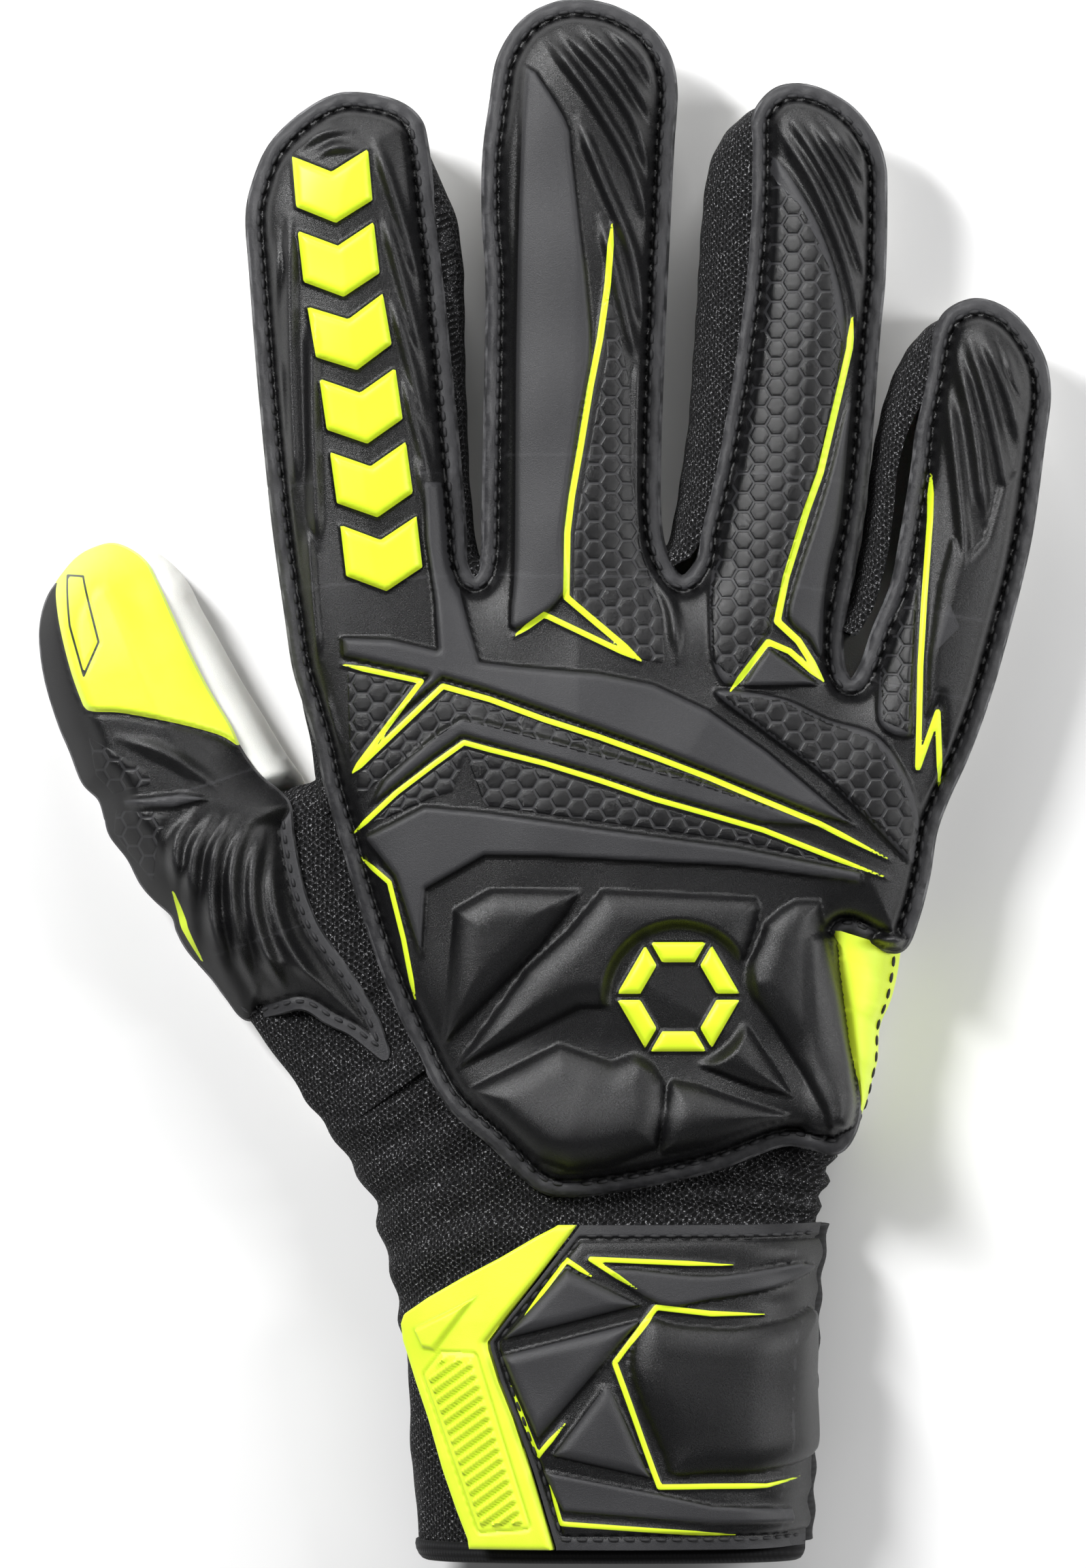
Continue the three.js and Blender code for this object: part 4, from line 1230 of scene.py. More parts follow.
# Angles round a gusset's section, from its upper edge out to its side and in to its lower edge.
WALL_TURNS = np.radians([0, 12, 25, 38, 52, 66, 80, 92, 106, 120, 134, 148, 162, 176])


def wall_profiles():
    """Along the silhouette: the gussets' inset and height at the skin, and their inset at the middle."""
    path = BODY_PATH.path
    back_gap = np.maximum(-BACK.depth(path), 0)
    thumb_gap = np.maximum(-THUMB_OUTLINE.depth(path), 0)
    on_thumb = (path[:, 0] < -43.5) & (path[:, 1] < 64) & (np.minimum(thumb_gap, back_gap) == thumb_gap)
    on_thumb |= (path[:, 0] < -60)
    along, across = THUMB.local(path)
    lip = on_thumb & (across > -1) & (along > 7)
    top_inset = np.where(on_thumb, 2.2 + 1.4 * (across > 4), back_gap + 2.4)
    top_z = np.where(on_thumb, 12.5 + 7 * ease((across + 9) / 17) - 3 * ease((along - 48) / 16), 24.0)
    mid_inset = np.where(lip, 3.2, 0.0)
    for values in (top_inset, top_z, mid_inset):
        blur(values, 6)
    return top_inset, top_z, mid_inset


def wall_layer(chosen, profile, deeper):
    """One face of a gusset, moved inwards by deeper, its points rows by columns."""
    top_inset, top_z, mid_inset = (values[chosen] for values in profile)
    path, inward = BODY_PATH.path[chosen], BODY_PATH.inward[chosen]
    bottom_z, bottom_inset = 6.6, 2.2
    middle_z = np.minimum(15.5, top_z - 2)
    rows = []
    for angle in WALL_TURNS:
        c, s = math.cos(angle), math.sin(angle)
        if c >= 0:
            inset = mid_inset + np.maximum(top_inset - mid_inset, 0.4) * (1 - s)
            z = middle_z + (top_z - middle_z) * c
        else:
            inset = mid_inset + bottom_inset * (1 - s)
            z = middle_z + (middle_z - bottom_z) * c
        inset = inset + deeper
        fold = 0.07 * np.sin(path[:, 0] * 0.9 + path[:, 1] * 0.75 + 2 * s) * s
        rows.append(np.column_stack([path + inward * (inset + fold)[:, None], z]))
    return np.array(rows)


def build_walls():
    """The knit gussets, one for each stretch of the silhouette."""
    profile = wall_profiles()
    sheets, scraps = [], []
    for i, (name, node, digit, part, _) in enumerate(BODY):
        chosen = BODY_PATH.stretch(i)
        outer = wall_layer(chosen, profile, 0)
        piece = closed_grid(name, outer, wall_layer(chosen, profile, GUSSET_THICKNESS), KNIT)
        if digit:
            follow(piece, digit, part)
        else:
            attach(piece, "hand")
        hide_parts(node)
        flat = flat_size(outer)
        if min(flat) < SMALLEST_SHEET:
            scraps.append((digit, piece))
        else:
            sheets.append((digit, part, piece, flat))


PALM_INSET = 1.1
PALM_TOP = 6.5


def palm_outline():
    """Edge of the latex. It stays inside the silhouette, except where it rolls up the thumb's side."""
    path = BODY_PATH.path
    along, across = THUMB.local(path)
    white_side = (across > -2) & (across < 20) & (along > 6) & (path[:, 1] < 64)
    step = np.where(white_side, -0.9 - 1.1 * ease((across - 1) / 5), PALM_INSET)
    blur(step, 4)
    moved = path + BODY_PATH.inward * step[:, None]
    accent = smooth([(64.6, -13), (63.4, -20), (61.2, -28), (60.4, -34), (58.8, -41), (56.6, -45.5)], 1.0)
    return np.vstack([moved, accent])


def palm_surface(plan, edge_depth):
    """Top of the palm foam, with the lip that rolls up the thumb, and its underside with its grooves."""
    along, across = THUMB.local(plan)
    skin_depth = THUMB_OUTLINE.depth(plan)
    side = ease((across + 3) / 4) * ease((along - 8) / 6) * ease((21.5 - across) / 3)
    lip_foot = 9
    lip_height = 20.5 - lip_foot - 4 * ease((along - 52) / 12)
    lip_z = lip_foot + lip_height * dome(edge_depth / 6.5)
    lip = side * (1 - ease((skin_depth - 1.6) / 1.6))
    top = PALM_TOP + (lip_z - PALM_TOP) * lip
    rounded = 3.0 * (1 - dome(edge_depth / 3.2))
    grooves = np.zeros(len(plan))
    for path in FLEX_GROOVES:
        grooves = np.maximum(grooves, 1.3 * ease(1.25 - distance(plan, path, reach=3) / 1.1))
    soft = 0.25 * wave_noise(plan[:, 0], plan[:, 1], 30, 9)
    return top, rounded + grooves + 0.25 + soft * ease(edge_depth / 4)


def flex_line(digit, along, left, right, bow=0.0):
    """A bowed line across a digit's palm side, where the foam flexes."""
    middle = digit.place(along + bow, (right - left) / 2)
    return smooth([digit.place(along, -left), middle, digit.place(along, right)], 1.5)


FLEX_GROOVES = [
    *[flex_line(d, d.joint, d.left - 1, d.right - 1, -2) for d in FINGERS],
    *[flex_line(d, d.start + 3, d.left - 2, d.right - 2, -3) for d in FINGERS],
    flex_line(THUMB, THUMB.joint, 14, 12, -2),
    smooth([(-40, 20), (-22, 4), (-12, -16), (-10, -38)], 1.5),
    smooth([(-38, 26), (-14, 22), (18, 14), (52, -4), (60, -16)], 1.5),
]


def palm_region_of(plan):
    """Which latex piece each point belongs to: 0 the palm, then two for each finger and for the thumb."""
    region = region_of(plan)
    x, y = plan.T
    along, across = THUMB.local(plan)
    on_thumb = (x < -43) & (y < 64) & (across < 19) & (along > THUMB.start)
    on_thumb &= (region == 0) | (x < -54.5)
    thumb_base = 2 * len(FINGERS) + 1
    return np.where(on_thumb, thumb_base + (along > THUMB.middle), region)


def cad_palm_node(region, digits):
    """The part's node that a piece of latex stands for."""
    if region == 0:
        return "palm_panel"
    digit = digits[(region - 1) // 2].name
    return f"{digit}_palm" if region % 2 else f"{digit}_tip_palm"


def build_palm():
    """The latex foam of the palm and the digits, one sheet cut where the joints blend."""
    outline = palm_outline()
    edge = Edge.along(outline)
    cuts = [line_across(d, u, edge) for d in FINGERS for u in (d.start, d.middle)]
    cuts.append(line_across(THUMB, THUMB.middle, edge))
    thumb_root = np.array([THUMB.place(THUMB.start, w) for w in np.arange(-16, 18, 0.5)])
    cuts.append(thumb_root[inside(thumb_root, outline)])
    plan, faces = triangulate(outline, 1.0, cuts)
    shell = Shell(plan, faces, *palm_surface(plan, edge.depth(plan)))
    regions = palm_region_of(shell.centres())
    digits = [*FINGERS, THUMB]
    names = ["palm"] + [f"{d.name}_{part}latex" for d in digits for part in ("", "tip_")]
    for region, name in enumerate(names):
        piece = shell.piece(name, regions == region, [LATEX])
        piece_follows(piece, region, digits)
        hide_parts(cad_palm_node(region, digits))


# ---- Web and side accent --------------------------------------------------------------------------


WEB_EDGE = [
    (-52, 14), (-47, 17.5), (-42.5, 19), (-40, 22), (-36, 14), (-31, 2), (-25, -12), (-20, -26), (-19, -38),
    (-30, -38), (-40, -30), (-44, -18), (-49, -4),
]


def build_web():
    """Knit that shows between the thumb's panel and the moulded back."""
    outline = smooth(WEB_EDGE, 0.8, closed=True)
    plan, faces = triangulate(outline, 1.2)
    x, y = plan.T
    below_crotch = 17.4 + 0.35 * (x + 45) - y
    top = 14 + 7.6 * dome((below_crotch + 1) / 7) - 4.5 * ease((-19 - y) / 8)
    top = top + 0.12 * wave_noise(x, y, 12, 4)
    piece = Shell(plan, faces, top, top - 1.5).piece("web_knit", slice(None), [KNIT])
    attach(piece, "hand")
    width, length = (outline.max(0) - outline.min(0)) * MM
    a, b, c = (np.column_stack([plan, top])[faces[:, k]] for k in range(3))
    area = np.linalg.norm(np.cross(b - a, c - a), axis=1).sum() / 2 * MM**2
    area = min(area, width * length)


ACCENT_OUTER = [
    (65.9, -12.2), (65.2, -16.9), (64, -21.7), (62, -26.5), (61.6, -32.3), (60.6, -36.2), (59.2, -41),
    (56.6, -46.6),
]
ACCENT_INNER = [
    (54.4, -8.6), (55.4, -15), (56.3, -21.6), (57, -28), (57.6, -33.6), (58.2, -37.6), (58, -41.4),
    (55.4, -46.6),
]


def spread_over(path, count):
    """This many points picked evenly from a path."""
    return path[np.linspace(0, len(path) - 1, count).round().astype(int)]


def build_accent():
    """The neon side of the hand's heel: in under the skin's edge, then out, and down to the palm."""
    count = 60
    inner = spread_over(smooth(ACCENT_INNER, 0.7), count)
    outer = spread_over(smooth(ACCENT_OUTER, 0.7), count)
    rows = []
    for t in np.linspace(0, 1, 14):
        out = math.sin(t * math.pi / 2)
        z = 25.6 - 10.5 * (1 - math.cos(t * math.pi / 2))
        fold = -0.5 * np.exp(-(((t - 0.62) / 0.05) ** 2))
        rows.append(np.column_stack([inner + (outer - inner) * out, np.full(count, z + fold)]))
    for t in np.linspace(0.15, 1, 7):
        inset = np.array([-1.8 * (1 - math.cos(t * math.pi / 2)), 0])
        rows.append(np.column_stack([outer + inset, np.full(count, 15.1 - 8 * math.sin(t * math.pi / 2))]))
    face = np.array(rows)
    back = face + np.array([-1.3, 0, -0.9])
    piece = closed_grid("side_accent_panel", face, back, NEON_RUBBER)
    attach(piece, "hand")
    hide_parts("side_accent")
    sewn_row = 9
    seam = sew("accent_stitches", [face[sewn_row] + np.array([0, 0, 0.1])], 3.0, 2.1, 0.33)
    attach(seam, "hand")


# ---- Stitches -------------------------------------------------------------------------------------

# Sections of a stitch from end to end: the share of its length, the share of its radius, and its lift.
STITCH_SECTIONS = [(0, 0.35, -0.35), (0.18, 0.9, 0), (0.5, 1.05, 0.08), (0.82, 0.9, 0), (1, 0.35, -0.35)]
STITCH_SIDES = 6


def stitch(a, b, radius):
    """The points of one stitch from a to b, section by section."""
    ahead = (b - a) / np.linalg.norm(b - a)
    side = np.cross(ahead, (0, 0, 1))
    side /= np.linalg.norm(side)
    up = np.cross(side, ahead)
    points = []
    for share, width, lift in STITCH_SECTIONS:
        centre = a + (b - a) * share + up * lift
        for k in range(STITCH_SIDES):
            angle = 2 * math.pi * k / STITCH_SIDES
            points.append(centre + radius * width * (side * math.cos(angle) + up * math.sin(angle)))
    return points


def stitch_faces(first):
    """The faces of a stitch whose points start at number first."""
    sides, bands = STITCH_SIDES, len(STITCH_SECTIONS) - 1
    faces = []
    for ring in range(bands):
        for k in range(sides):
            p, q = first + ring * sides + k, first + ring * sides + (k + 1) % sides
            faces.append((p, q, q + sides, p + sides))
    start, end = range(first, first + sides), range(first + bands * sides, first + (bands + 1) * sides)
    return [*faces, tuple(reversed(start)), tuple(end)]


def sew(name, lines, pitch, length, radius):
    """Thread along lines of points in space, one small capsule for each stitch."""
    points, faces = [], []
    for line in lines:
        run = run_along(line)
        for at in np.arange(pitch / 2, run[-1] - length, pitch):
            a, b = place_on(line, run, at), place_on(line, run, at + length)
            if 0.5 * length <= np.linalg.norm(b - a) <= 1.3 * length:
                faces.extend(stitch_faces(len(points)))
                points.extend(stitch(a, b, radius))
    piece = make_object(name, np.array(points), faces, [THREAD])
    return piece


def offset_inside(edge, amount):
    """The outline moved inwards, in the runs where it stays clear of itself."""
    path = edge.path
    tangent = np.roll(path, -2, axis=0) - np.roll(path, 2, axis=0)
    tangent /= np.linalg.norm(tangent, axis=1)[:, None]
    moved = path + amount * np.column_stack([tangent[:, 1], -tangent[:, 0]])
    return moved[edge.depth(moved) > amount - 0.12]


def build_back_stitches():
    """The seam round the moulded back, cut where the skin pieces meet, with one piece of thread for each
    skin piece.
    """
    line = offset_inside(BACK, 2.0)
    line = line[beside_accent(line) < 0.2]
    top, _, _ = back_surface(line)
    seam = np.column_stack([line, top + 0.12])
    regions = region_of(line)
    breaks = (np.diff(regions) != 0) | (np.hypot(*np.diff(line, axis=0).T) > 2.5)
    runs = np.split(np.arange(len(line)), np.where(breaks)[0] + 1)
    for region, name in enumerate(BACK_PIECES):
        lines = [seam[run] for run in runs if regions[run[0]] == region and len(run) > 8]
        piece = sew(name + "_stitches", lines, 2.9, 2.1, 0.36)
        piece_follows(piece, region, FINGERS)


def build_thumb_stitches():
    """The seam round the thumb's root."""
    line = offset_inside(THUMB_OUTLINE, 1.5)
    x, y = line.T
    line = line[(y < 13) & ((x > -52) | (y < -22))]
    gaps = np.hypot(*(np.roll(line, -1, axis=0) - line).T)
    line = np.roll(line, -np.argmax(gaps) - 1, axis=0)
    top, _, _ = thumb_surface(line)
    piece = sew("thumb_stitches", [np.column_stack([line, top + 0.12])], 2.7, 1.9, 0.33)
    follow(piece, THUMB, "base")


# ---- Wrist ----------------------------------------------------------------------------------------

# Places along the wrist: y, the left and right silhouettes, and the bottom and top of the tube.
WRIST = np.array([
    (-126, -21.5, 46.6, 1.0, 26.4),
    (-121, -23.2, 47.4, 1.0, 26.6),
    (-105, -24.6, 47.8, 0.9, 26.7),
    (-89, -25.2, 48.2, 0.9, 26.6),
    (-80, -26.8, 48.6, 1.0, 26.4),
    (-73, -28, 49, 1.0, 26),
    (-65, -30, 50, 1.1, 25.5),
    (-59, -31.9, 51.2, 1.3, 25),
    (-55, -33.9, 52.4, 1.5, 24.6),
    (-50.5, -36.6, 53.6, 1.8, 24.3),
    (-47, -39, 54.6, 2.2, 24),
    (-44.5, -41, 55.4, 6.6, 23.8),
    (-40, -44, 56.2, 7.4, 23.5),
    (-37, -46, 57, 7.4, 23.3),
    (-33.8, -48.4, 57.6, 7.4, 23.1),
    (-30.4, -50.9, 58, 7.4, 22.8),
    (-27, -53.4, 58.4, 7.4, 22.6),
    (-22, -56.8, 59, 7.4, 22.2),
    (-17, -59, 59.6, 7.6, 21.6),
])
SQUARE = 2 / 2.6  # power that makes an ellipse squarish
WRIST_TURN = 200  # points round the wrist


def wrist_sections(rows):
    """Centre and half size of the wrist across, then up, at each row."""
    low_to_high = WRIST[np.argsort(WRIST[:, 0])]
    left, right, bottom, top = (np.interp(rows, low_to_high[:, 0], low_to_high[:, k]) for k in range(1, 5))
    return (left + right) / 2, (right - left) / 2, (bottom + top) / 2, (top - bottom) / 2


def soften(values):
    """Turns the cosines and sines of an ellipse into those of the squarish section."""
    return np.sign(values) * np.abs(values) ** SQUARE


def round_wrist(rows, angles, offset=0.0):
    """Points round the wrist at an offset out of the knit, rows by angles."""
    rows = np.asarray(rows, float)
    x, half_x, z, half_z = (v[:, None] for v in wrist_sections(rows))
    angles = np.broadcast_to(angles, (len(rows), np.shape(angles)[-1]))
    across = x + (half_x + offset) * soften(np.cos(angles))
    up = z + (half_z + offset) * soften(np.sin(angles))
    return np.stack([across, np.broadcast_to(rows[:, None], angles.shape), up], axis=-1)


def even_angles(count):
    """Angles that space points about evenly round the squarish section."""
    fine = np.linspace(0, 2 * math.pi, 2001)
    length = run_along(np.column_stack([38 * soften(np.cos(fine)), 12.8 * soften(np.sin(fine))]))
    return np.interp(np.arange(count) * length[-1] / count, length, fine)


def knit_folds(points):
    """How far the knit stands out: soft folds above the strap and round the thumb's heel."""
    x, y, z = (points[..., k] for k in range(3))
    right = ease((x - 8) / 34)
    out = 0.75 * right * np.sin((y + 0.12 * x) * 1.25) * ease((y + 64) / 6) * ease((-44 - y) / 5)
    left = ease((6 - x) / 28)
    out = out + 0.5 * left * np.sin((y - 0.5 * x) * 0.62) * ease((y + 90) / 10) * ease((-36 - y) / 8)
    waist = np.exp(-(((y + 60.5) / 2.6) ** 2))
    return out - 0.7 * waist * ease((z - 10) / 8) + 0.25 * wave_noise(x + z, y, 14, 12)


def build_wrist():
    """The knit tube of the wrist, and the knit round the heel of the hand above it."""
    angles = even_angles(WRIST_TURN)
    for name, node, low, high in (
        ("wrist_sleeve", "wrist_knit", -122.2, -46),
        ("heel_knit", "heel_knit_panel", -46, -18),
    ):
        rows = np.linspace(low, high, int((high - low) / 0.9))
        outer = round_wrist(rows, angles)
        direction = outer - round_wrist(rows, angles, -1.0)
        outer = outer + direction * knit_folds(outer)[..., None]
        inner = round_wrist(rows, angles, -2.4)
        piece = closed_grid(name, outer, inner, KNIT, wrap=True, smooth_angle=60)
        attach(piece, "hand")
        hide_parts(node)


def build_cuff():
    """The round binding of the cuff."""
    angles = even_angles(WRIST_TURN)
    turns = np.radians(np.arange(0, 360, 30))
    rings = [round_wrist([-122.9 + 1.9 * math.cos(a)], angles, 0.15 + math.sin(a))[0] for a in turns]
    index = np.arange(len(turns) * WRIST_TURN).reshape(len(turns), WRIST_TURN)
    following = np.roll(index, -1, axis=0)
    corners = (index, np.roll(index, -1, axis=1), np.roll(following, -1, axis=1), following)
    faces = np.column_stack([v.ravel() for v in corners])
    piece = make_object("cuff_edge", np.vstack(rings), faces, [WEBBING])
    fix_orientation(piece)
    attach(piece, "hand")
    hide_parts("cuff_binding")


# ---- Strap ----------------------------------------------------------------------------------------

HINGE_ANGLE = 0.36  # radians round the wrist, where the strap is hinged

# Rows of the pull tab's sides: y, left x, right x.
TAB = np.array([
    (-121.2, -14.4, 1.2), (-119.8, -14.6, 0.8), (-114.7, -16.6, -0.8), (-107, -19.3, -3.2),
    (-97.6, -22, -6.4), (-90.9, -24.3, -9.2), (-85.2, -26.1, -11), (-83.7, -26.6, -11.2),
    (-80.6, -27, -8.8), (-78.8, -26.4, -7.4), (-75.7, -22, -4.9), (-71.8, -15.3, -1.7),
    (-68.3, -8.6, 1.1), (-64.4, -1.8, 4.2), (-62.4, 2.2, 5.7),
])


def angle_at(rows, x, offset):
    """The angles round the wrist at which rows at an offset reach x."""
    centre, half_x, _, _ = wrist_sections(np.asarray(rows, float))
    reach = np.clip((np.asarray(x) - centre) / (half_x + offset), -1, 1)
    return np.arccos(np.sign(reach) * np.abs(reach) ** (1 / SQUARE))


def strap_layer(rows, right, left, offset, columns):
    """A sheet over the back of the wrist between two angles for each row, at an offset that lowers to the
    side where the strap is hinged."""
    t = np.linspace(0, 1, columns)[None]
    angles = np.asarray(right)[:, None] * (1 - t) + np.asarray(left)[:, None] * t
    hinge_offset = 2.6
    lowered = hinge_offset + (offset - hinge_offset) * ease((angles - HINGE_ANGLE) / 0.75)
    return round_wrist(rows, angles, np.minimum(offset, lowered))


def tab_sides(rows):
    """The pull tab's left and right x at each row."""
    y, left, right = TAB[np.argsort(TAB[:, 0])].T
    return np.interp(rows, y, left), np.interp(rows, y, right)


STRAP_RELIEF = [
    plate([(4.2, -70), (17.6, -76.8), (-7.6, -83.4)], 1.9, 2.4),
    neon(0.9, (-3.2, -78.6), (4.2, -68.6), (9, -71.8), taper=(5, 3)),
    plate([(-7.8, -86), (17.6, -79.4), (-0.8, -101.6)], 2.0, 2.6),
    neon(0.9, (-6.2, -91.6), (-1, -104.4), (4, -98.4), taper=(5, 4)),
    plate([(11.6, -90.6), (19.4, -108.6), (1.6, -104.4)], 1.8, 2.2),
    plate([(-0.7, -106.8), (20, -111), (30, -113.3), (44.8, -114.2), (44.8, -117), (30, -116.8),
           (3.6, -114.6)], 1.1, 0.8),
    neon(0.9, (1.1, -109.6), (3.1, -116.7), (30, -118.7), (35, -118.9), taper=(4, 8)),
    neon(0.9, (34, -69.6), (8.5, -68.4), (16.6, -73.8), taper=(8, 4)),
    pad([(12.4, -70.2), (30, -71.4), (46, -69.4), (48.6, -71.2), (40, -74.2), (30, -76),
         (21, -76.8)], 1.1, 1.0),
    pad([(18.4, -79.6), (24, -80.4), (34, -81), (44, -79.6), (49, -78.4), (49.2, -90), (49, -104),
         (40, -107.2), (30, -107.6), (23, -107.8), (21.4, -104), (15.6, -88.4)], 2.8, 5.5, satin=False),
    neon(1.0, (39.5, -78.6), (30, -78.4), (20.2, -77.2), (12.8, -87.3), (20.8, -110), (30, -109.9),
         (40, -110), (46, -108.8), taper=(9, 9)),
]


def strap_relief(points):
    """The strap's relief over a grid of points."""
    height, values = relief(points[..., :2].reshape(-1, 2), STRAP_RELIEF)
    shape = points.shape[:2]
    return height.reshape(shape), {key: v.reshape(shape) for key, v in values.items()}


def depth_on(points, polygon):
    """How deep the points of a grid lie inside a polygon, seen from above."""
    return depth_in(points[..., :2].reshape(-1, 2), polygon).reshape(points.shape[:2])


def outwards(outer, inner):
    """Unit directions from the inner grid to the outer one."""
    direction = outer - inner
    return direction / np.linalg.norm(direction, axis=-1)[..., None]


def build_strap():
    """The strap's moulded cover, its tab and layers, and its seams."""
    rows = np.arange(-121.6, -62.3, 0.38)
    _, seam = tab_sides(rows)
    hinge = np.full(len(rows), HINGE_ANGLE)
    left = angle_at(rows, seam + 0.7, 8.6)
    outer = strap_layer(rows, hinge, left, 7.4, 230)
    inner = strap_layer(rows, hinge, left, 5.9, 230)
    normal = outwards(outer, inner)
    height, values = strap_relief(outer)
    x, y = outer[..., 0], outer[..., 1]
    edge = np.minimum(np.minimum(-62.6 - y, y + 121.3), (x - seam[:, None]) * 0.85)
    body = 0.8 * dome((edge - 2.4) / 2) * (edge > 2.4)
    groove = -0.35 * ease(1 - np.abs(edge - 2.2) / 0.7)
    soft = 0.25 * wave_noise(x, y, 22, 8)
    creased = ease((x - 34) / 10) * (ease((y + 78) / 5) + ease((-108 - y) / 4))
    out = height * ease(edge / 2.6 - 0.6) + body + groove + soft + 0.4 * creased * np.sin(y * 0.9)
    outer = outer + normal * out[..., None]
    values["pad"] = np.maximum(np.where(edge < 2.4, -9, values["pad"]), 1.6 - edge)
    cover = closed_grid("strap_cover_skin", outer, inner, SKIN, smooth_angle=75, values=values)
    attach(cover, "strap_flap")
    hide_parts("strap_cover")
    build_tab(rows)
    build_strap_layers()
    sewn = outer + normal * 0.15
    seams = [("0", sewn[5, 4:-3]), ("1", sewn[-6, 4:-3]), ("seam", sewn[5:-5, -6])]
    for label, line in seams:
        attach(sew("strap_stitches_" + label, [line], 2.9, 2.1, 0.34), "strap_flap")


GRIP = [(-21.4, -90), (-18.6, -86.4), (-13.2, -86.6), (-3.6, -117), (-11.6, -117.6)]
WEDGE = [(-12.4, -75.4), (-24, -81.4), (-22.3, -85), (-20, -85.4)]


def build_tab(rows):
    """The neon pull tab: rounded edges, slanting grip ribs and a plain raised wedge."""
    left_x, right_x = tab_sides(rows)
    right = angle_at(rows, right_x, 8.6)
    left = angle_at(rows, left_x, 8.6)
    outer = strap_layer(rows, right, left, 8.0, 90)
    inner = strap_layer(rows, right, left, 6.0, 90)
    normal = outwards(outer, inner)
    x, y = outer[..., 0], outer[..., 1]
    from_sides = np.minimum(x - left_x[:, None], right_x[:, None] - x) * 0.87
    edge = np.minimum(from_sides, np.minimum(-62.2 - y, y + 121.8))
    rounded = -1.0 * (1 - dome(edge / 1.3))
    inside_grip, wedge_depth = depth_on(outer, GRIP), depth_on(outer, WEDGE)
    slant = (y - x * 0.75) / 2.35
    ribs = ease(inside_grip / 0.6) * ease((np.cos(slant * 2 * math.pi) + 0.35) / 0.9)
    frame_line = 0.4 * ease(1 - np.abs(inside_grip + 0.9) / 0.45)
    raised = 0.85 * ribs + 0.9 * ease(wedge_depth / 0.8) - frame_line
    outer = outer + normal * (rounded + raised)[..., None]
    # Painted shade for the neon: dark at the feet of the ribs, round the wedge and along the grip's frame
    # line.
    foot = np.exp(-((np.abs(ribs - 0.3) / 0.28) ** 2)) * ease(inside_grip / 0.5)
    foot = np.maximum(foot, np.exp(-(((wedge_depth - 0.05) / 0.35) ** 2)))
    foot = np.maximum(foot, 2 * frame_line)
    tab = closed_grid("pull_tab_skin", outer, inner, NEON_RUBBER, smooth_angle=60, values={"valley_shade": foot})
    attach(tab, "strap_flap")
    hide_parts("pull_tab")


def build_strap_layers():
    """The elastic band, the two hook-and-loop patches and the sewn end that the strap grows out of."""
    rows = np.arange(-121, -62.9, 1.2)
    tab_left, _ = tab_sides(rows)
    band, hooks, loops = slice(None), slice(4, -10), slice(3, -4)
    # Piece, node, body, material, slot, rows, right side by angle, left x, lower and upper offset.
    layers = [
        ("strap_elastic", "strap_band", "strap_flap", WEBBING, "elastic_webbing",
         rows[band], HINGE_ANGLE, tab_left[band] + 10, 4.1, 5.3),
        ("strap_hooks", "hook_patch", "strap_flap", HOOK_LOOP, "hook_and_loop",
         rows[hooks], angle_at(rows[hooks], 6.0, 3.4), tab_left[hooks] + 3, 2.5, 3.4),
        ("wrist_loops", "loop_patch", "hand", HOOK_LOOP, "hook_and_loop",
         rows[loops], angle_at(rows[loops], 30.0, 1.7), tab_left[loops] + 4, 0.7, 1.6),
    ]
    for name, node, body, material, slot, y, right, left_x, low, high in layers:
        left = angle_at(y, left_x, high)
        right = np.broadcast_to(right, (len(y),))
        outer = strap_layer(y, right, left, high, 70)
        inner = strap_layer(y, right, left, low, 70)
        piece = closed_grid(name, outer, inner, material)
        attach(piece, body)
        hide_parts(node)
    build_strap_root()


def build_strap_root():
    """Elastic sewn to the side of the wrist. It runs on under the strap."""
    angles = np.linspace(-0.8, HINGE_ANGLE + 0.4, 60)
    rows = np.arange(-121, -62.9, 1.0)
    outer = round_wrist(rows, angles, 2.4)
    inner = round_wrist(rows, angles, 0.7)
    wave = 0.15 * np.sin(rows * 0.8)[:, None] * ease((HINGE_ANGLE - 0.1 - angles) / 0.2)
    outer = outer + (outer - inner) * wave[..., None]
    piece = closed_grid("strap_root", outer, inner, WEBBING)
    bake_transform(piece)
    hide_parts("strap_anchor")


def dress_spines():
    """The support strips under the skin stay as they are in the part, with their plastic's grain."""
    for obj in bpy.context.scene.objects:
        if obj.type == "MESH" and "spine" in obj.name:
            obj.data.materials.clear()
            obj.data.materials.append(SPINE)


# ---- The picture ----------------------------------------------------------------------------------

PICTURE_HEIGHT = 288.125  # millimetres that the picture's long side spans, level with the skin
SKIN_LEVEL = 25
CAMERA_DISTANCE = 1600  # millimetres above the skin


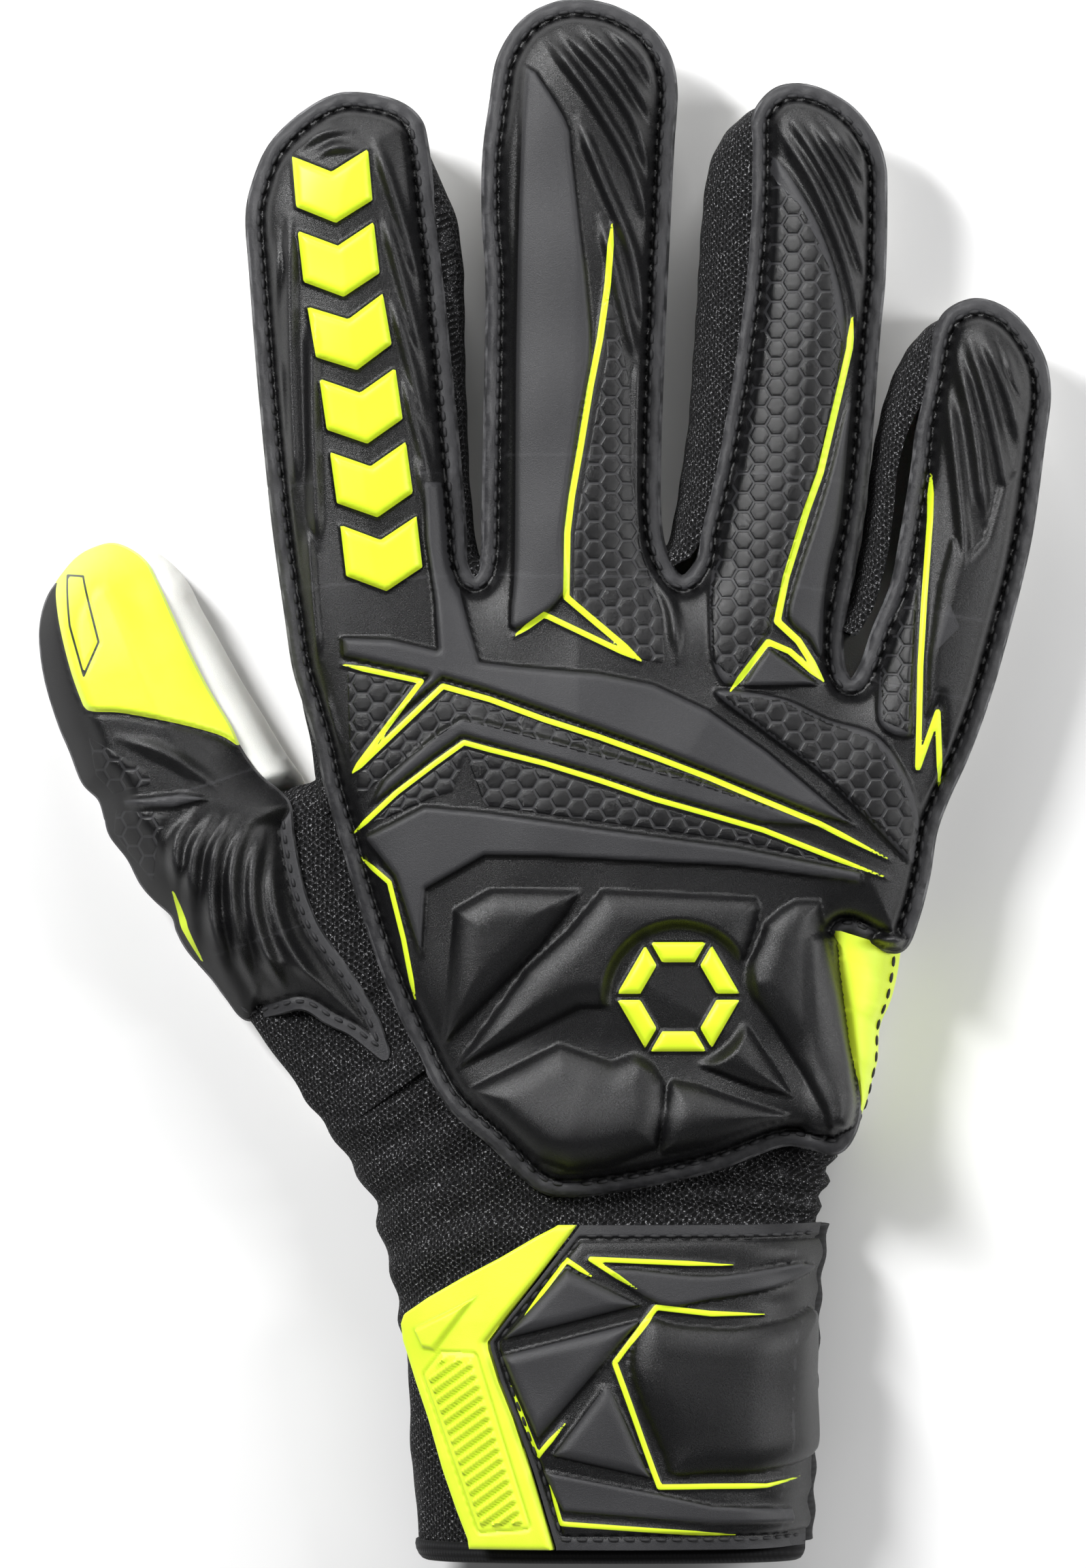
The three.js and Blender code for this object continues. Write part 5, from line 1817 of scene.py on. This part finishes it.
def light(name, place, target, size, power):
    """A white rectangular light of a size in metres and a power in watts, aimed at a target."""
    data = bpy.data.lights.new(name, "AREA")
    data.shape = "RECTANGLE"
    data.size, data.size_y = size
    data.energy = power
    lamp = bpy.data.objects.new(name, data)
    lamp.location = Vector(place)
    lamp.rotation_euler = (Vector(target) - Vector(place)).to_track_quat("-Z", "Y").to_euler()
    bpy.context.scene.collection.objects.link(lamp)


def floor_material():
    """Pale grey paper."""
    n = Nodes("studio_floor")
    speck = n.noise(40.0, 2, where=n.node("ShaderNodeTexCoord").outputs["Object"])
    return n.finish(n.mix(speck, (0.79, 0.79, 0.79), (0.82, 0.82, 0.82)), 0.9)


def build_floor():
    """The ground just under the glove."""
    half = 3.0
    mesh = bpy.data.meshes.new("floor")
    corners = [(-half, -half, 0), (half, -half, 0), (half, half, 0), (-half, half, 0)]
    mesh.from_pydata(corners, [], [(0, 1, 2, 3)])
    mesh.materials.append(floor_material())
    floor = bpy.data.objects.new("floor", mesh)
    floor.location.z = -0.0005
    bpy.context.scene.collection.objects.link(floor)


def build_lights():
    """Softboxes at the upper left, the right, the bottom and the top of the picture, and a dim room."""
    glove = (0, 0, 0.02)
    light("key", (-0.50, 0.50, 0.78), glove, (0.16, 0.34), 13.5)
    light("fill", (0.80, 0.10, 0.50), glove, (0.14, 0.7), 5.5)
    light("low", (-0.15, -0.85, 0.42), glove, (0.5, 0.10), 0.6)
    light("far", (0.15, 0.95, 0.55), glove, (0.7, 0.16), 6)
    world = bpy.data.worlds.new("studio")
    world.use_nodes = True
    background = world.node_tree.nodes["Background"]
    background.inputs["Color"].default_value = (1, 1, 1, 1)
    background.inputs["Strength"].default_value = 0.12
    bpy.context.scene.world = world
    bpy.context.scene.view_settings.view_transform = "Standard"


def build_camera():
    """A camera straight above the glove."""
    camera = bpy.data.cameras.new("camera")
    camera.sensor_width = 36
    camera.lens = camera.sensor_width * CAMERA_DISTANCE / PICTURE_HEIGHT
    viewer = bpy.data.objects.new("camera", camera)
    viewer.location = Vector((-0.25, 18.4, CAMERA_DISTANCE + SKIN_LEVEL)) * MM
    bpy.context.scene.collection.objects.link(viewer)
    bpy.context.scene.camera = viewer


build_back()
build_thumb_back()
build_walls()
build_palm()
build_web()
build_accent()
build_wrist()
build_cuff()
build_strap()
build_back_stitches()
build_thumb_stitches()
dress_spines()
build_floor()
build_lights()
build_camera()
